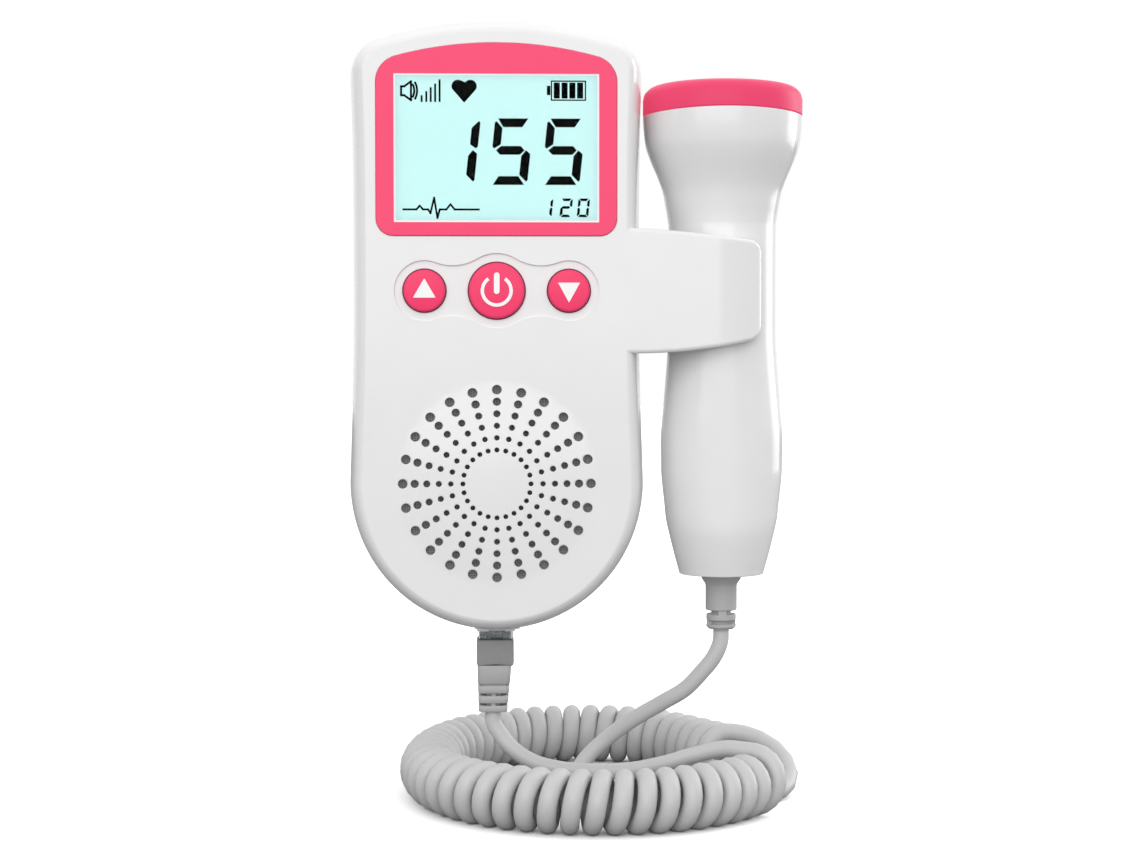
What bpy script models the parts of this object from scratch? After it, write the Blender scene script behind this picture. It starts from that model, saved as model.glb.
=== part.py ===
# Fetal doppler: a body with a display, three keys and a loudspeaker, and a probe on a curly lead.
# Metres. +Z is up, the front faces -Y and +X is to the right. The origin is on the body's flat back.
import math

import bmesh
import bpy
import numpy
from mathutils import Matrix, Vector

# General fits
GAP = 0.0003
OVERRUN = 0.0015
SKIN = 0.0001

# Body outline, seen from the front
BODY_HEIGHT = 0.134
BODY_TOP = 0.0324
BODY_DEPTH = 0.034
SHOULDER_HALF = 0.0322
WAIST_HALF = 0.0317
HIP_RADIUS = 0.0326
ARCH_RADIUS = 0.089
SHOULDER_RADIUS = 0.0086
LEAST_CORNER = 0.0008
WALL = 0.0022
WAIST_SHARES = (0.22, 0.66)
ARCH_STEPS = 4
CORNER_STEPS = 4
HIP_STEPS = 9

# How the case closes in towards its faces: depth share, inset share
FRONT_INSET = 0.0036
FRONT_CROWN_SHARES = ((0.0, 0.0), (0.35, 0.13), (0.65, 0.28), (0.84, 0.47), (0.95, 0.72), (1.0, 1.0))
REAR_INSET = 0.0039
REAR_CROWN_SHARES = ((0.0, 0.0), (0.35, 0.09), (0.62, 0.21), (0.82, 0.42), (0.94, 0.7), (1.0, 1.0))

# Screen
SCREEN_DROP = 0.0061
BEZEL_ABOVE_HIP = 0.0539
BEZEL_HALF = 0.0258
BEZEL_ARCH_RADIUS = 0.0824
BEZEL_TOP_CORNER = 0.0056
BEZEL_BOTTOM_CORNER = 0.0037
BEZEL_THICKNESS = 0.0015
BEZEL_PROUD = 0.0003
WINDOW_WIDTH = 0.044
WINDOW_DROP = 0.0068
WINDOW_RISE = 0.0029
WINDOW_SETBACK = 0.0002
LCD_LAP = 0.0012
LCD_THICKNESS = 0.0024
BACKLIGHT_THICKNESS = 0.0025
CONNECTOR_HEIGHT = 0.002
CONNECTOR_SHORTER = 0.002

# Main board and its screws
BOARD_SETBACK = 0.0094
BOARD_THICKNESS = 0.0016
BOARD_HALF = 0.0222
BOARD_DROP = 0.0064
BOARD_ABOVE_HIP = 0.026
BOARD_SCREW_IN = 0.004
BOARD_SCREW_UP = 0.0025
BOARD_SCREW_RADIUS = 0.0008
BOARD_HEAD_RADIUS = 0.0015
BOARD_HEAD_HEIGHT = 0.0008
BOARD_SCREW_BITE = 0.003
BOARD_BOSS_RADIUS = 0.002
CHIP_SIZE = 0.01
CHIP_THICKNESS = 0.0012
AMPLIFIER_SIZE = 0.005

# Keys and the switches under them
KEY_ABOVE_HIP = 0.0418
KEY_SPACING = 0.0155
POWER_RADIUS = 0.00627
VOLUME_RADIUS = 0.0047
KEY_PROUD = 0.0009
KEY_ROUND = 0.0005
KEY_CROWN = 0.0002
KEY_FLANGE = 0.0011
KEY_FLANGE_THICKNESS = 0.0006
KEY_STEM_RADIUS = 0.0015
KEY_TRAVEL = 0.0005
KEY_SIDES = 20
TRAY_LOBE = 0.0065
TRAY_MIDDLE = 0.00803
TRAY_BLEND = 0.0104
TRAY_DEPTH = 0.0008
TRAY_STEPS = 5
SWITCH_SIZE = 0.006
SWITCH_HEIGHT = 0.0035
PLUNGER_RADIUS = 0.0017
PLUNGER_LENGTH = 0.0023
PLUNGER_SINK = 0.0005

# Grille
GRILLE_ABOVE_HIP = 0.00065
GRILLE_RADIUS = 0.0224
GRILLE_RISE = 0.0012
GRILLE_BREAK_SHARE = 0.616
GRILLE_SPOKES = 24
GRILLE_INNER_RING = 0.00732
GRILLE_RING_STEP = 0.00259
GRILLE_HOLES = (0.00106, 0.00116, 0.00129, 0.00151, 0.00177, 0.00209)
GRILLE_HOLE_SIDES = 5

# Loudspeaker
SPEAKER_RADIUS = 0.0223
SPEAKER_RIM = 0.0025
SPEAKER_SIDES = 20
GASKET_THICKNESS = 0.0008
FRAME_FLANGE = 0.001
FRAME_DEPTH = 0.0058
FRAME_WALL = 0.0008
FRAME_FOOT_RADIUS = 0.0132
FRAME_EYE_RADIUS = 0.008
MAGNET_RADIUS = 0.011
MAGNET_HEIGHT = 0.004
CONE_DEPTH = 0.0036
CONE_THICKNESS = 0.0004
CONE_NECK = 0.006
DUST_CAP_RISE = 0.0013
SPEAKER_WALL_THICKNESS = 0.0012
SPEAKER_WALL_HEIGHT = 0.003

# Case screws
SCREW_EDGE = 0.0061
TOP_SCREW_DROP = 0.0144
LOW_SCREW_EDGE = 0.0059
LOW_SCREW_ANGLE = 29.4
SCREW_RADIUS = 0.001
SCREW_HEAD_RADIUS = 0.0016
SCREW_HEAD_HEIGHT = 0.0015
SCREW_SEAT = 0.011
SCREW_BITE = 0.007
BOSS_RADIUS = 0.0025
REAR_BOSS_RADIUS = 0.0028

# Batteries, their bay and its door
BATTERY_RADIUS = 0.00725
BATTERY_LENGTH = 0.0505
BATTERY_SPACING = 0.0152
BATTERY_NUB_RADIUS = 0.0027
BATTERY_NUB_HEIGHT = 0.001
BATTERY_ROUND = 0.0005
PLATE_THICKNESS = 0.0004
PLATE_HEIGHT = 0.009
SPRING_LENGTH = 0.0035
SPRING_WIRE = 0.0006
SPRING_FOOT = 0.0042
SPRING_TIP = 0.0024
SPRING_TURNS = 3
SPRING_STEPS = 8
BAY_DROP = 0.0162
BAY_WALL = 0.0015
BAY_RIB = 0.0015
BAY_RIB_SETBACK = 0.0065
BAY_LIP = 0.0018
DOOR_THICKNESS = 0.0017
DOOR_LAP = 0.0008
DOOR_ABOVE_RIB = 0.0004
HOOK_REACH = 0.0025
HOOK_ROOT = 0.0026
HOOK_THICKNESS = 0.0012
HOOK_WIDTH = 0.006
HOOK_PLACE = 0.0095
HOOK_ROOM = 0.0007
GRIP_GROOVES = 4
GRIP_GROOVE_WIDTH = 0.0008
GRIP_GROOVE_PITCH = 0.0018
GRIP_GROOVE_DEPTH = 0.0004
GRIP_GROOVE_HALF = 0.006

# Probe
PROBE_X = 0.0502
PROBE_FOOT_Z = -0.0896
PROBE_LENGTH = 0.1022
PROBE_HEAD_RADIUS = 0.0177
PROBE_NECK_RADIUS = 0.0119
PROBE_GRIP_HALF = 0.0135
PROBE_FOOT_HALF = 0.0098
PROBE_WALL = 0.0018
PROBE_SIDES = 20
# Height share, then how far it has gone from the neck to the head, to the grip and to the foot
PROBE_SHARES = (
    (0.0, 0.0, 0.0, 1.2), (0.016, 0.0, 0.0, 1.0), (0.048, 0.0, 0.0, 0.57), (0.114, 0.0, 0.25, 0.0),
    (0.147, 0.0, 0.5, 0.0), (0.212, 0.0, 0.94, 0.0), (0.243, 0.0, 1.0, 0.0), (0.31, 0.0, 1.0, 0.0),
    (0.376, 0.0, 0.65, 0.0), (0.475, 0.0, 0.16, 0.0), (0.536, 0.0, 0.0, 0.0), (0.732, 0.0, 0.0, 0.0),
    (0.769, 0.026, 0.0, 0.0), (0.801, 0.12, 0.0, 0.0), (0.835, 0.24, 0.0, 0.0), (0.867, 0.45, 0.0, 0.0),
    (0.9, 0.7, 0.0, 0.0), (0.932, 0.89, 0.0, 0.0), (0.966, 0.966, 0.0, 0.0), (1.0, 1.0, 0.0, 0.0))
PROBE_ROUND_ABOVE_SHARE = 0.75
CAP_SIDE = 0.003
CAP_HEIGHT = 0.0071
CAP_WALL = 0.0016
CAP_TOP_WALL = 0.0021
CAP_TOP_SHARES = ((1.0, 0.0), (0.97, 0.38), (0.86, 0.72), (0.62, 0.9), (0.32, 0.98))
CRYSTAL_RADIUS = 0.007
CRYSTAL_THICKNESS = 0.001
CRYSTAL_PART = 0.0008
BACKING_RADIUS = 0.009
BACKING_THICKNESS = 0.003
CARRIER_THICKNESS = 0.003
PROBE_BOARD_THICKNESS = 0.0012
PROBE_BOARD_SHARES = (0.54, 0.73)

# Strain relief at the probe's foot
RELIEF_FLANGE_RADIUS = 0.0055
RELIEF_FLANGE_HEIGHT = 0.0012
RELIEF_RADIUS = 0.0035
RELIEF_COLLAR_RADIUS = 0.00457
RELIEF_COLLAR_HEIGHT = 0.002
RELIEF_BODY = 0.0059
RELIEF_RING_RADIUS = 0.0033
RELIEF_CORE_RADIUS = 0.0022
RELIEF_GROOVE = 0.0009
RELIEF_RING = 0.0013
RELIEF_LIP = 0.0011
RELIEF_LIP_ROUND = 0.0005

# Holder for the probe: two fingers from the body's side
FINGER_REACH = 0.0074
FINGER_FLAT_BEFORE = 0.004
FINGER_DROP = 0.004
FINGER_TOP = -0.0133
FINGER_TOP_FALL = 0.0027
FINGER_BOTTOM = -0.0403
FINGER_BOTTOM_RISE = 0.0033
FINGER_CORNER = 0.0026
FINGER_ROOT_SHARE = 0.55
FINGER_ROOT_WALL_SHARE = 0.9
FINGER_SHARES = (0.15, 0.35, 0.55, 0.68, 0.78, 0.86, 0.92, 0.96, 0.985, 1.0)
FINGER_TOP_POWER_SHARE = 1.3

# Jack, plug and boot at the body's foot
JACK_HALF_WIDTH = 0.005
JACK_HALF_DEPTH = 0.0062
JACK_HEIGHT = 0.0125
JACK_PROUD = 0.0001
JACK_CAVITY = 0.0092
JACK_GROOVE_HALF = 0.0018
JACK_GROOVE_DEPTH = 0.0021
PLUG_WIDTH = 0.00766
PLUG_DEPTH = 0.0066
PLUG_BODY_LENGTH = 0.0114
PLUG_SLEEVE_WIDTH = 0.0079
PLUG_SLEEVE_LENGTH = 0.0058
BLADE_PITCH = 0.0017
BLADE_THICKNESS = 0.0003
BLADE_LENGTH = 0.005
BLADE_DEPTH = 0.0018
BLADE_FROM_NOSE = 0.001
LATCH_HALF = 0.0014
LATCH_THICKNESS = 0.0007
LATCH_LENGTH = 0.0115
LATCH_FROM_NOSE = 0.0014
LATCH_LIFT = 0.001
BOOT_LENGTH = 0.01
BOOT_TOP_WIDTH = 0.00725
BOOT_BOTTOM_WIDTH = 0.00607
BOOT_DEPTH_SHARE = 0.88
BOOT_BEVEL_SHARE = 0.18
BOOT_CORE_SHARE = 0.7
BOOT_GROOVE_SHARES = ((0.31, 0.39), (0.56, 0.64), (0.79, 0.87))

# Cord, with the floor that its coil lies on
FLOOR_Z = -0.14
CORD_DIAMETER = 0.0036
COIL_X = 0.0228
COIL_RADIUS = 0.0376
COIL_BACK_EXTRA = 0.0065
COIL_BACK_AT = 262.0
COIL_CORNER_LESS = 0.005
COIL_CORNER_AT = 318.0
COIL_CORNER_POWER = 8
COIL_LIFT = 0.0001
COIL_START = 29.0
RING_SAMPLES = 3600
CURL_RADIUS = 0.00485
CURL_PITCH = 0.004557
CURLS = 45
CURL_POINTS = 8
FIRST_CURL_EXTRA = 0.002
FIRST_CURL_SHARE = 0.5
LAST_CURL_SHARE = 0.5
LAST_CURL_SWEEP = 36.0
LAST_CURL_EXTRA = 0.0022
LEAD_STRAIGHT_SHARE = 0.5
LEAD_STEP_SHARE = 2.0
ROUTE_SAMPLES = 16

# Route points of the two free leads, between their straight ends
MAIN_LEAD_POINTS = (
    (0.0013, -0.0175, -0.1260), (0.0043, -0.0186, -0.1292), (0.0082, -0.0198, -0.1315),
    (0.0128, -0.0210, -0.1326), (0.0179, -0.0223, -0.1330), (0.0238, -0.0237, -0.1329),
    (0.0305, -0.0252, -0.1322), (0.0372, -0.0268, -0.1305), (0.0435, -0.0284, -0.1284))
PROBE_LEAD_POINTS = (
    (0.0450, -0.0232, -0.1381), (0.0365, -0.0236, -0.1381), (0.0292, -0.0230, -0.1381),
    (0.0233, -0.0208, -0.1381), (0.0193, -0.0172, -0.1381), (0.0175, -0.0129, -0.1379),
    (0.0177, -0.0090, -0.1368), (0.0192, -0.0062, -0.1347), (0.0216, -0.0049, -0.1321),
    (0.0247, -0.0051, -0.1293), (0.0283, -0.0068, -0.1261), (0.0326, -0.0092, -0.1228),
    (0.0376, -0.0120, -0.1194), (0.0423, -0.0145, -0.1161), (0.0458, -0.0160, -0.1122),
    (0.0488, -0.0168, -0.1082))

# Places that follow from the sizes
BODY_BOTTOM = BODY_TOP - BODY_HEIGHT
HIP_Z = BODY_BOTTOM + HIP_RADIUS
GRILLE_Z = HIP_Z + GRILLE_ABOVE_HIP
HALF_DEPTH = BODY_DEPTH / 2
PARTING_Y = -HALF_DEPTH
FRONT_IN = BODY_DEPTH - WALL
BEZEL_TOP = BODY_TOP - SCREEN_DROP
BEZEL_BOTTOM = HIP_Z + BEZEL_ABOVE_HIP
BEZEL_BACK = BODY_DEPTH + BEZEL_PROUD - BEZEL_THICKNESS
WINDOW_HALF = WINDOW_WIDTH / 2
WINDOW_TOP = BEZEL_TOP - WINDOW_DROP
WINDOW_BOTTOM = BEZEL_BOTTOM + WINDOW_RISE
LCD_FRONT = BEZEL_BACK - GAP
LCD_BACK = LCD_FRONT - LCD_THICKNESS
BOARD_FRONT = BODY_DEPTH - BOARD_SETBACK
BOARD_BACK = BOARD_FRONT - BOARD_THICKNESS
BOARD_TOP = BODY_TOP - BOARD_DROP
BOARD_BOTTOM = HIP_Z + BOARD_ABOVE_HIP
KEY_Z = HIP_Z + KEY_ABOVE_HIP
SWITCH_FRONT = BOARD_FRONT + GAP + SWITCH_HEIGHT
PLUNGER_BACK = SWITCH_FRONT - PLUNGER_SINK
PLUNGER_FRONT = PLUNGER_BACK + PLUNGER_LENGTH
GASKET_FRONT = FRONT_IN - GAP
FRAME_FRONT = GASKET_FRONT - GASKET_THICKNESS - GAP
FRAME_BACK = FRAME_FRONT - FRAME_DEPTH
BAY_HALF = BATTERY_SPACING / 2 + BATTERY_RADIUS + GAP
BAY_BOTTOM = HIP_Z - BAY_DROP
STACK_START = BAY_BOTTOM + PLATE_THICKNESS + 2 * GAP
BATTERY_1_BOTTOM = STACK_START + SPRING_LENGTH + GAP
STACK_END = BATTERY_1_BOTTOM + BATTERY_LENGTH
RIB_BOTTOM = STACK_END + PLATE_THICKNESS + 2 * GAP
RIB_TOP = RIB_BOTTOM + BAY_RIB
DOOR_TOP = RIB_TOP + DOOR_ABOVE_RIB
DOOR_BOTTOM = BAY_BOTTOM - DOOR_LAP
DOOR_HALF = BAY_HALF + DOOR_LAP
BAY_TOP = DOOR_TOP + HOOK_REACH + HOOK_ROOM
BATTERY_Y = BAY_LIP + 3 * GAP + BATTERY_RADIUS
BAY_FLOOR = BATTERY_Y + BATTERY_RADIUS + GAP
CAP_LINE = PROBE_FOOT_Z + PROBE_LENGTH
HOLDER_HALF = PROBE_GRIP_HALF + GAP
HOLDER_HALF_DEPTH = PROBE_NECK_RADIUS + GAP
CAP_INNER_TOP = CAP_LINE + GAP / 2 + CAP_HEIGHT - CAP_TOP_WALL
JACK_BOTTOM = BODY_BOTTOM - JACK_PROUD
PLUG_NOSE = JACK_BOTTOM + JACK_CAVITY - GAP
PLUG_BODY_BOTTOM = PLUG_NOSE - PLUG_BODY_LENGTH
SLEEVE_TOP = PLUG_BODY_BOTTOM - GAP
BOOT_TOP = SLEEVE_TOP - PLUG_SLEEVE_LENGTH - GAP
BOOT_BOTTOM = BOOT_TOP - BOOT_LENGTH
RELIEF_TOP = PROBE_FOOT_Z + PROBE_WALL + GAP + RELIEF_FLANGE_HEIGHT
RELIEF_COLLAR_TOP = PROBE_FOOT_Z - GAP
RELIEF_BODY_END = RELIEF_COLLAR_TOP - RELIEF_COLLAR_HEIGHT - RELIEF_BODY
RELIEF_BOTTOM = RELIEF_BODY_END - 2 * RELIEF_GROOVE - RELIEF_RING - RELIEF_LIP
CORD_RADIUS = CORD_DIAMETER / 2
COIL_Z = FLOOR_Z + COIL_LIFT + CURL_RADIUS + CORD_RADIUS

# What moves with the probe
PROBE_PIECES = (
    "probe_shell_front", "probe_shell_rear", "probe_cap", "probe_carrier", "crystal_backing",
    "transmit_crystal", "receive_crystal", "probe_board", "probe_strain_relief")

# Turns a shape made round Z, or stood on Z, to face the front
TO_FRONT = Matrix.Rotation(math.radians(90), 4, "X")

# Finish of each piece: sRGB colour, roughness, metallic
WHITE = ((0.92, 0.92, 0.92), 0.3, 0.0)
PINK = ((0.95, 0.29, 0.45), 0.35, 0.0)
BRIGHT_PINK = ((1.0, 0.345, 0.494), 0.3, 0.0)
CLEAR = ((0.85, 0.97, 0.96), 0.05, 0.0)
SCREEN = ((0.81, 1.0, 0.98), 0.3, 0.0)
BOARD = ((0.08, 0.32, 0.16), 0.45, 0.0)
BLACK = ((0.06, 0.06, 0.06), 0.5, 0.0)
STEEL = ((0.72, 0.72, 0.72), 0.3, 1.0)
GOLD = ((0.85, 0.65, 0.3), 0.3, 1.0)
CERAMIC = ((0.86, 0.82, 0.72), 0.6, 0.0)
FOAM = ((0.2, 0.2, 0.2), 0.9, 0.0)
PAPER = ((0.3, 0.3, 0.3), 0.85, 0.0)
SLEEVE_GREY = ((0.53, 0.53, 0.53), 0.5, 0.0)
RELIEF_GREY = ((0.63, 0.63, 0.63), 0.55, 0.0)
CORD_GREY = ((0.77, 0.77, 0.77), 0.5, 0.0)
BATTERY_GREEN = ((0.15, 0.42, 0.28), 0.3, 0.2)


def clear_scene():
    for old in list(bpy.data.objects):
        bpy.data.objects.remove(old, do_unlink=True)


def linear(value):
    """One sRGB channel as the linear value that a material takes."""
    return value / 12.92 if value <= 0.04045 else ((value + 0.055) / 1.055) ** 2.4


def give_material(obj, finish):
    colour, roughness, metallic = finish
    material = bpy.data.materials.new(obj.name + "_finish")
    material.use_nodes = True
    shader = material.node_tree.nodes["Principled BSDF"]
    shader.inputs["Base Color"].default_value = (*[linear(c) for c in colour], 1.0)
    shader.inputs["Roughness"].default_value = roughness
    shader.inputs["Metallic"].default_value = metallic
    obj.data.materials.append(material)


def add_piece(name, bm, finish, smooth=False):
    """Put a finished mesh into the scene as one named piece."""
    bmesh.ops.recalc_face_normals(bm, faces=bm.faces)
    mesh = bpy.data.meshes.new(name)
    bm.to_mesh(mesh)
    bm.free()
    if smooth:
        mesh.shade_smooth()
        mesh.set_sharp_from_angle(angle=math.radians(35))
    piece = bpy.data.objects.new(name, mesh)
    bpy.context.scene.collection.objects.link(piece)
    if finish:
        give_material(piece, finish)
    return piece


def combine(piece, bm, operation, name):
    """Join a shape to a piece, or cut it out, with a live Boolean modifier."""
    tool = add_piece(f"{piece.name}_{name}", bm, None)
    tool.hide_render = True
    tool.display_type = "WIRE"
    tool.parent = piece
    modifier = piece.modifiers.new(name, "BOOLEAN")
    modifier.operation = operation
    modifier.object = tool


def loft(rings):
    """A closed solid through rings of points, all with as many points."""
    bm = bmesh.new()
    face = bm.faces.new([bm.verts.new(point) for point in rings[0]])
    for index, ring in enumerate(rings[1:]):
        grown = bmesh.ops.extrude_face_region(bm, geom=[face])["geom"]
        if index:
            bmesh.ops.delete(bm, geom=[face], context="FACES_ONLY")
        face = next(item for item in grown if isinstance(item, bmesh.types.BMFace))
        for vert, point in zip(face.verts, ring):
            vert.co = point
    return bm


def block(low, high):
    bm = bmesh.new()
    size = [b - a for a, b in zip(low, high)]
    middle = [(a + b) / 2 for a, b in zip(low, high)]
    matrix = Matrix.Translation(middle) @ Matrix.Diagonal((*size, 1))
    bmesh.ops.create_cube(bm, size=1, matrix=matrix)
    return bm


def slab(half_x, back, front, bottom, top, middle_x=0.0):
    """A block given by how far its back and front lie before the origin's plane."""
    return block((middle_x - half_x, -front, bottom), (middle_x + half_x, -back, top))


def turned(profile, steps, place, to_front=False, phase=0.0):
    """Spin a profile of radius and height round an axis through place."""
    bm = bmesh.new()
    verts = [bm.verts.new((radius, 0.0, height)) for radius, height in profile]
    edges = [bm.edges.new(pair) for pair in zip(verts, verts[1:])]
    if profile[0][0] > 0 and profile[-1][0] > 0:
        edges.append(bm.edges.new((verts[-1], verts[0])))
    bmesh.ops.rotate(bm, verts=verts, cent=(0, 0, 0), matrix=Matrix.Rotation(phase, 3, "Z"))
    bmesh.ops.spin(bm, geom=verts + edges, cent=(0, 0, 0), axis=(0, 0, 1), angle=math.tau,
                   steps=steps, use_merge=True)
    bmesh.ops.remove_doubles(bm, verts=bm.verts, dist=SKIN / 10)
    turn = TO_FRONT if to_front else Matrix.Identity(4)
    bmesh.ops.transform(bm, verts=bm.verts, matrix=Matrix.Translation(place) @ turn)
    return bm


def rod(radius, start, end, steps, place, to_front=False, phase=0.0):
    profile = ((0.0, start), (radius, start), (radius, end), (0.0, end))
    return turned(profile, steps, place, to_front, phase)


def gathered(shapes):
    """Several shapes that stay apart, in one mesh."""
    whole = bmesh.new()
    for shape in shapes:
        mesh = bpy.data.meshes.new("shape")
        bmesh.ops.recalc_face_normals(shape, faces=shape.faces)
        shape.to_mesh(mesh)
        shape.free()
        whole.from_mesh(mesh)
        bpy.data.meshes.remove(mesh)
    return whole


def prism(outline, back, front):
    """An outline of x and z, extruded along Y."""
    return loft([[(x, -depth, z) for x, z in outline] for depth in (back, front)])


def arc(centre_x, centre_z, radius, start, end, steps):
    """Points of an arc; its angles run clockwise from straight up."""
    angles = [start + (end - start) * step / steps for step in range(steps + 1)]
    return [(centre_x + radius * math.sin(a), centre_z + radius * math.cos(a)) for a in angles]


def mirrored(half):
    """Close a right half, listed from top to bottom, with its mirror image."""
    left = [(-x, z) for x, z in reversed(half) if x > SKIN]
    return half + left


def body_outline(inset):
    """The body seen from the front, drawn in by inset all round."""
    corner = max(SHOULDER_RADIUS - inset, LEAST_CORNER)
    arch = ARCH_RADIUS - inset
    corner_x = SHOULDER_HALF - inset - corner
    arch_z = BODY_TOP - ARCH_RADIUS
    corner_z = arch_z + math.sqrt((arch - corner) ** 2 - corner_x ** 2)
    lean = math.asin(corner_x / (arch - corner))
    half = arc(0.0, arch_z, arch, 0.0, lean, ARCH_STEPS)[:-1]
    half += arc(corner_x, corner_z, corner, lean, math.pi / 2, CORNER_STEPS)
    half += [(WAIST_HALF - inset, corner_z + share * (HIP_Z - corner_z)) for share in WAIST_SHARES]
    half += arc(0.0, HIP_Z, HIP_RADIUS - inset, math.pi / 2, math.pi, HIP_STEPS)
    return mirrored(half)


def shell_solid(toward_front, shares, edge_inset, wall):
    """One half of the case as a solid; with a wall, the space inside it."""
    sign = -1 if toward_front else 1
    start = -OVERRUN if wall else GAP / 2
    rings = []
    for depth_share, inset_share in shares:
        depth = depth_share * (HALF_DEPTH - wall) if depth_share else start
        inset = inset_share * edge_inset + wall
        y = PARTING_Y + sign * depth
        rings.append([(x, y, z) for x, z in body_outline(inset)])
    return loft(rings)


def bezel_outline(grow):
    """The screen's surround, with its arched top."""
    half_width = BEZEL_HALF + grow
    corner = BEZEL_TOP_CORNER + grow
    low_corner = BEZEL_BOTTOM_CORNER + grow
    arch = BEZEL_ARCH_RADIUS + grow
    arch_z = BEZEL_TOP - BEZEL_ARCH_RADIUS
    bottom = BEZEL_BOTTOM - grow
    corner_x = half_width - corner
    corner_z = arch_z + math.sqrt((arch - corner) ** 2 - corner_x ** 2)
    lean = math.asin(corner_x / (arch - corner))
    half = arc(0.0, arch_z, arch, 0.0, lean, ARCH_STEPS)[:-1]
    half += arc(corner_x, corner_z, corner, lean, math.pi / 2, CORNER_STEPS)
    half += arc(half_width - low_corner, bottom + low_corner, low_corner, math.pi / 2, math.pi,
                CORNER_STEPS)
    return mirrored(half)


def tray_outline():
    """Three round lobes, joined by hollow blends."""
    reach = TRAY_MIDDLE + TRAY_BLEND
    blend_x = (KEY_SPACING ** 2 + reach ** 2 - (TRAY_LOBE + TRAY_BLEND) ** 2) / (2 * KEY_SPACING)
    blend_z = math.sqrt(reach ** 2 - blend_x ** 2)
    near = math.atan2(blend_x, blend_z)
    far = math.atan2(blend_x - KEY_SPACING, blend_z)
    quarter = arc(0.0, 0.0, TRAY_MIDDLE, 0.0, near, TRAY_STEPS)[:-1]
    quarter += arc(blend_x, blend_z, TRAY_BLEND, math.pi + near, math.pi + far, TRAY_STEPS)[:-1]
    quarter += arc(KEY_SPACING, 0.0, TRAY_LOBE, far, math.pi / 2, TRAY_STEPS)
    lower = [(x, -z) for x, z in reversed(quarter[:-1])]
    return [(x, KEY_Z + z) for x, z in mirrored(quarter + lower)]


def key_places():
    """Key name, x, radius."""
    return (("power", 0.0, POWER_RADIUS), ("volume_up", -KEY_SPACING, VOLUME_RADIUS),
            ("volume_down", KEY_SPACING, VOLUME_RADIUS))


def case_screw_places():
    angle = math.radians(LOW_SCREW_ANGLE)
    low = HIP_RADIUS - LOW_SCREW_EDGE
    right = ((SHOULDER_HALF - SCREW_EDGE, BODY_TOP - TOP_SCREW_DROP),
             (low * math.sin(angle), HIP_Z - low * math.cos(angle)))
    return [(side * x, z) for x, z in right for side in (-1, 1)]


def board_places(z):
    """Where the board is held, left and right, at one height."""
    x = BOARD_HALF - BOARD_SCREW_IN
    return [(-x, z), (x, z)]


def board_screw_places():
    return board_places(BOARD_TOP - BOARD_SCREW_UP)


def board_pin_places():
    return board_places(BOARD_BOTTOM + BOARD_SCREW_UP)


def holder_half_depth(x):
    """Half the room between the fingers, which is an oval round the probe's grip."""
    across = max(x - PROBE_X, 0.0) / HOLDER_HALF
    return HOLDER_HALF_DEPTH * math.sqrt(1 - across ** 2)


def finger_section(x, outer, inner, length_share):
    """One upright section of a finger; its top and bottom edges draw together towards the tip."""
    tip = PROBE_X + FINGER_REACH
    top = FINGER_TOP - FINGER_TOP_FALL * length_share ** FINGER_TOP_POWER_SHARE
    bottom = FINGER_BOTTOM + FINGER_BOTTOM_RISE * length_share ** 2
    past = max(x - (tip - FINGER_CORNER), 0.0)
    rounding = FINGER_CORNER - math.sqrt(max(FINGER_CORNER ** 2 - past ** 2, 0.0))
    top -= rounding
    bottom += rounding
    return [(x, outer, top), (x, inner, top), (x, inner, bottom), (x, outer, bottom)]


def finger(toward_front, edge_inset):
    """A finger of the holder, from inside the case's wall out to its tip."""
    sign = -1 if toward_front else 1
    face = HALF_DEPTH - SKIN
    root = WAIST_HALF - edge_inset
    tip = PROBE_X + FINGER_REACH
    flat_end = PROBE_X - FINGER_FLAT_BEFORE
    wall = WALL * FINGER_ROOT_WALL_SHARE
    rings = [finger_section(root, PARTING_Y + sign * face, PARTING_Y + sign * (face - wall), 0.0)]
    start = root + edge_inset * FINGER_ROOT_SHARE
    for share in (0.0,) + FINGER_SHARES:
        x = start + share * (tip - start)
        bend = max(x - flat_end, 0.0) / (tip - flat_end)
        outer = PARTING_Y + sign * (face - FINGER_DROP * bend ** 2)
        inner = PARTING_Y + sign * holder_half_depth(x)
        rings.append(finger_section(x, outer, inner, share))
    return loft(rings)


def grille_dome():
    """The raised, slightly crowned disc that the sound holes go through."""
    level = GRILLE_RISE * (1 - GRILLE_BREAK_SHARE ** 2)
    profile = ((0.0, BODY_DEPTH - WALL / 2), (GRILLE_RADIUS, BODY_DEPTH - WALL / 2),
               (GRILLE_RADIUS, BODY_DEPTH + SKIN),
               (GRILLE_RADIUS * GRILLE_BREAK_SHARE, BODY_DEPTH + level),
               (0.0, BODY_DEPTH + GRILLE_RISE))
    phase = math.pi / GRILLE_SPOKES
    return turned(profile, GRILLE_SPOKES, (0.0, 0.0, GRILLE_Z), True, phase)


def grille_holes():
    holes = []
    for spoke in range(GRILLE_SPOKES):
        angle = math.tau * spoke / GRILLE_SPOKES
        for ring, diameter in enumerate(GRILLE_HOLES):
            radius = GRILLE_INNER_RING + ring * GRILLE_RING_STEP
            place = (radius * math.sin(angle), 0.0, GRILLE_Z + radius * math.cos(angle))
            holes.append(rod(diameter / 2, FRONT_IN - OVERRUN, BODY_DEPTH + GRILLE_RISE + OVERRUN,
                             GRILLE_HOLE_SIDES, place, True))
    return gathered(holes)


def jack_opening():
    """The notch that both halves of the case leave round the jack."""
    half_depth = JACK_HALF_DEPTH + GAP
    top = JACK_BOTTOM + JACK_HEIGHT + GAP
    return slab(JACK_HALF_WIDTH + GAP, HALF_DEPTH - half_depth, HALF_DEPTH + half_depth,
                BODY_BOTTOM - OVERRUN, top)


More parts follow.
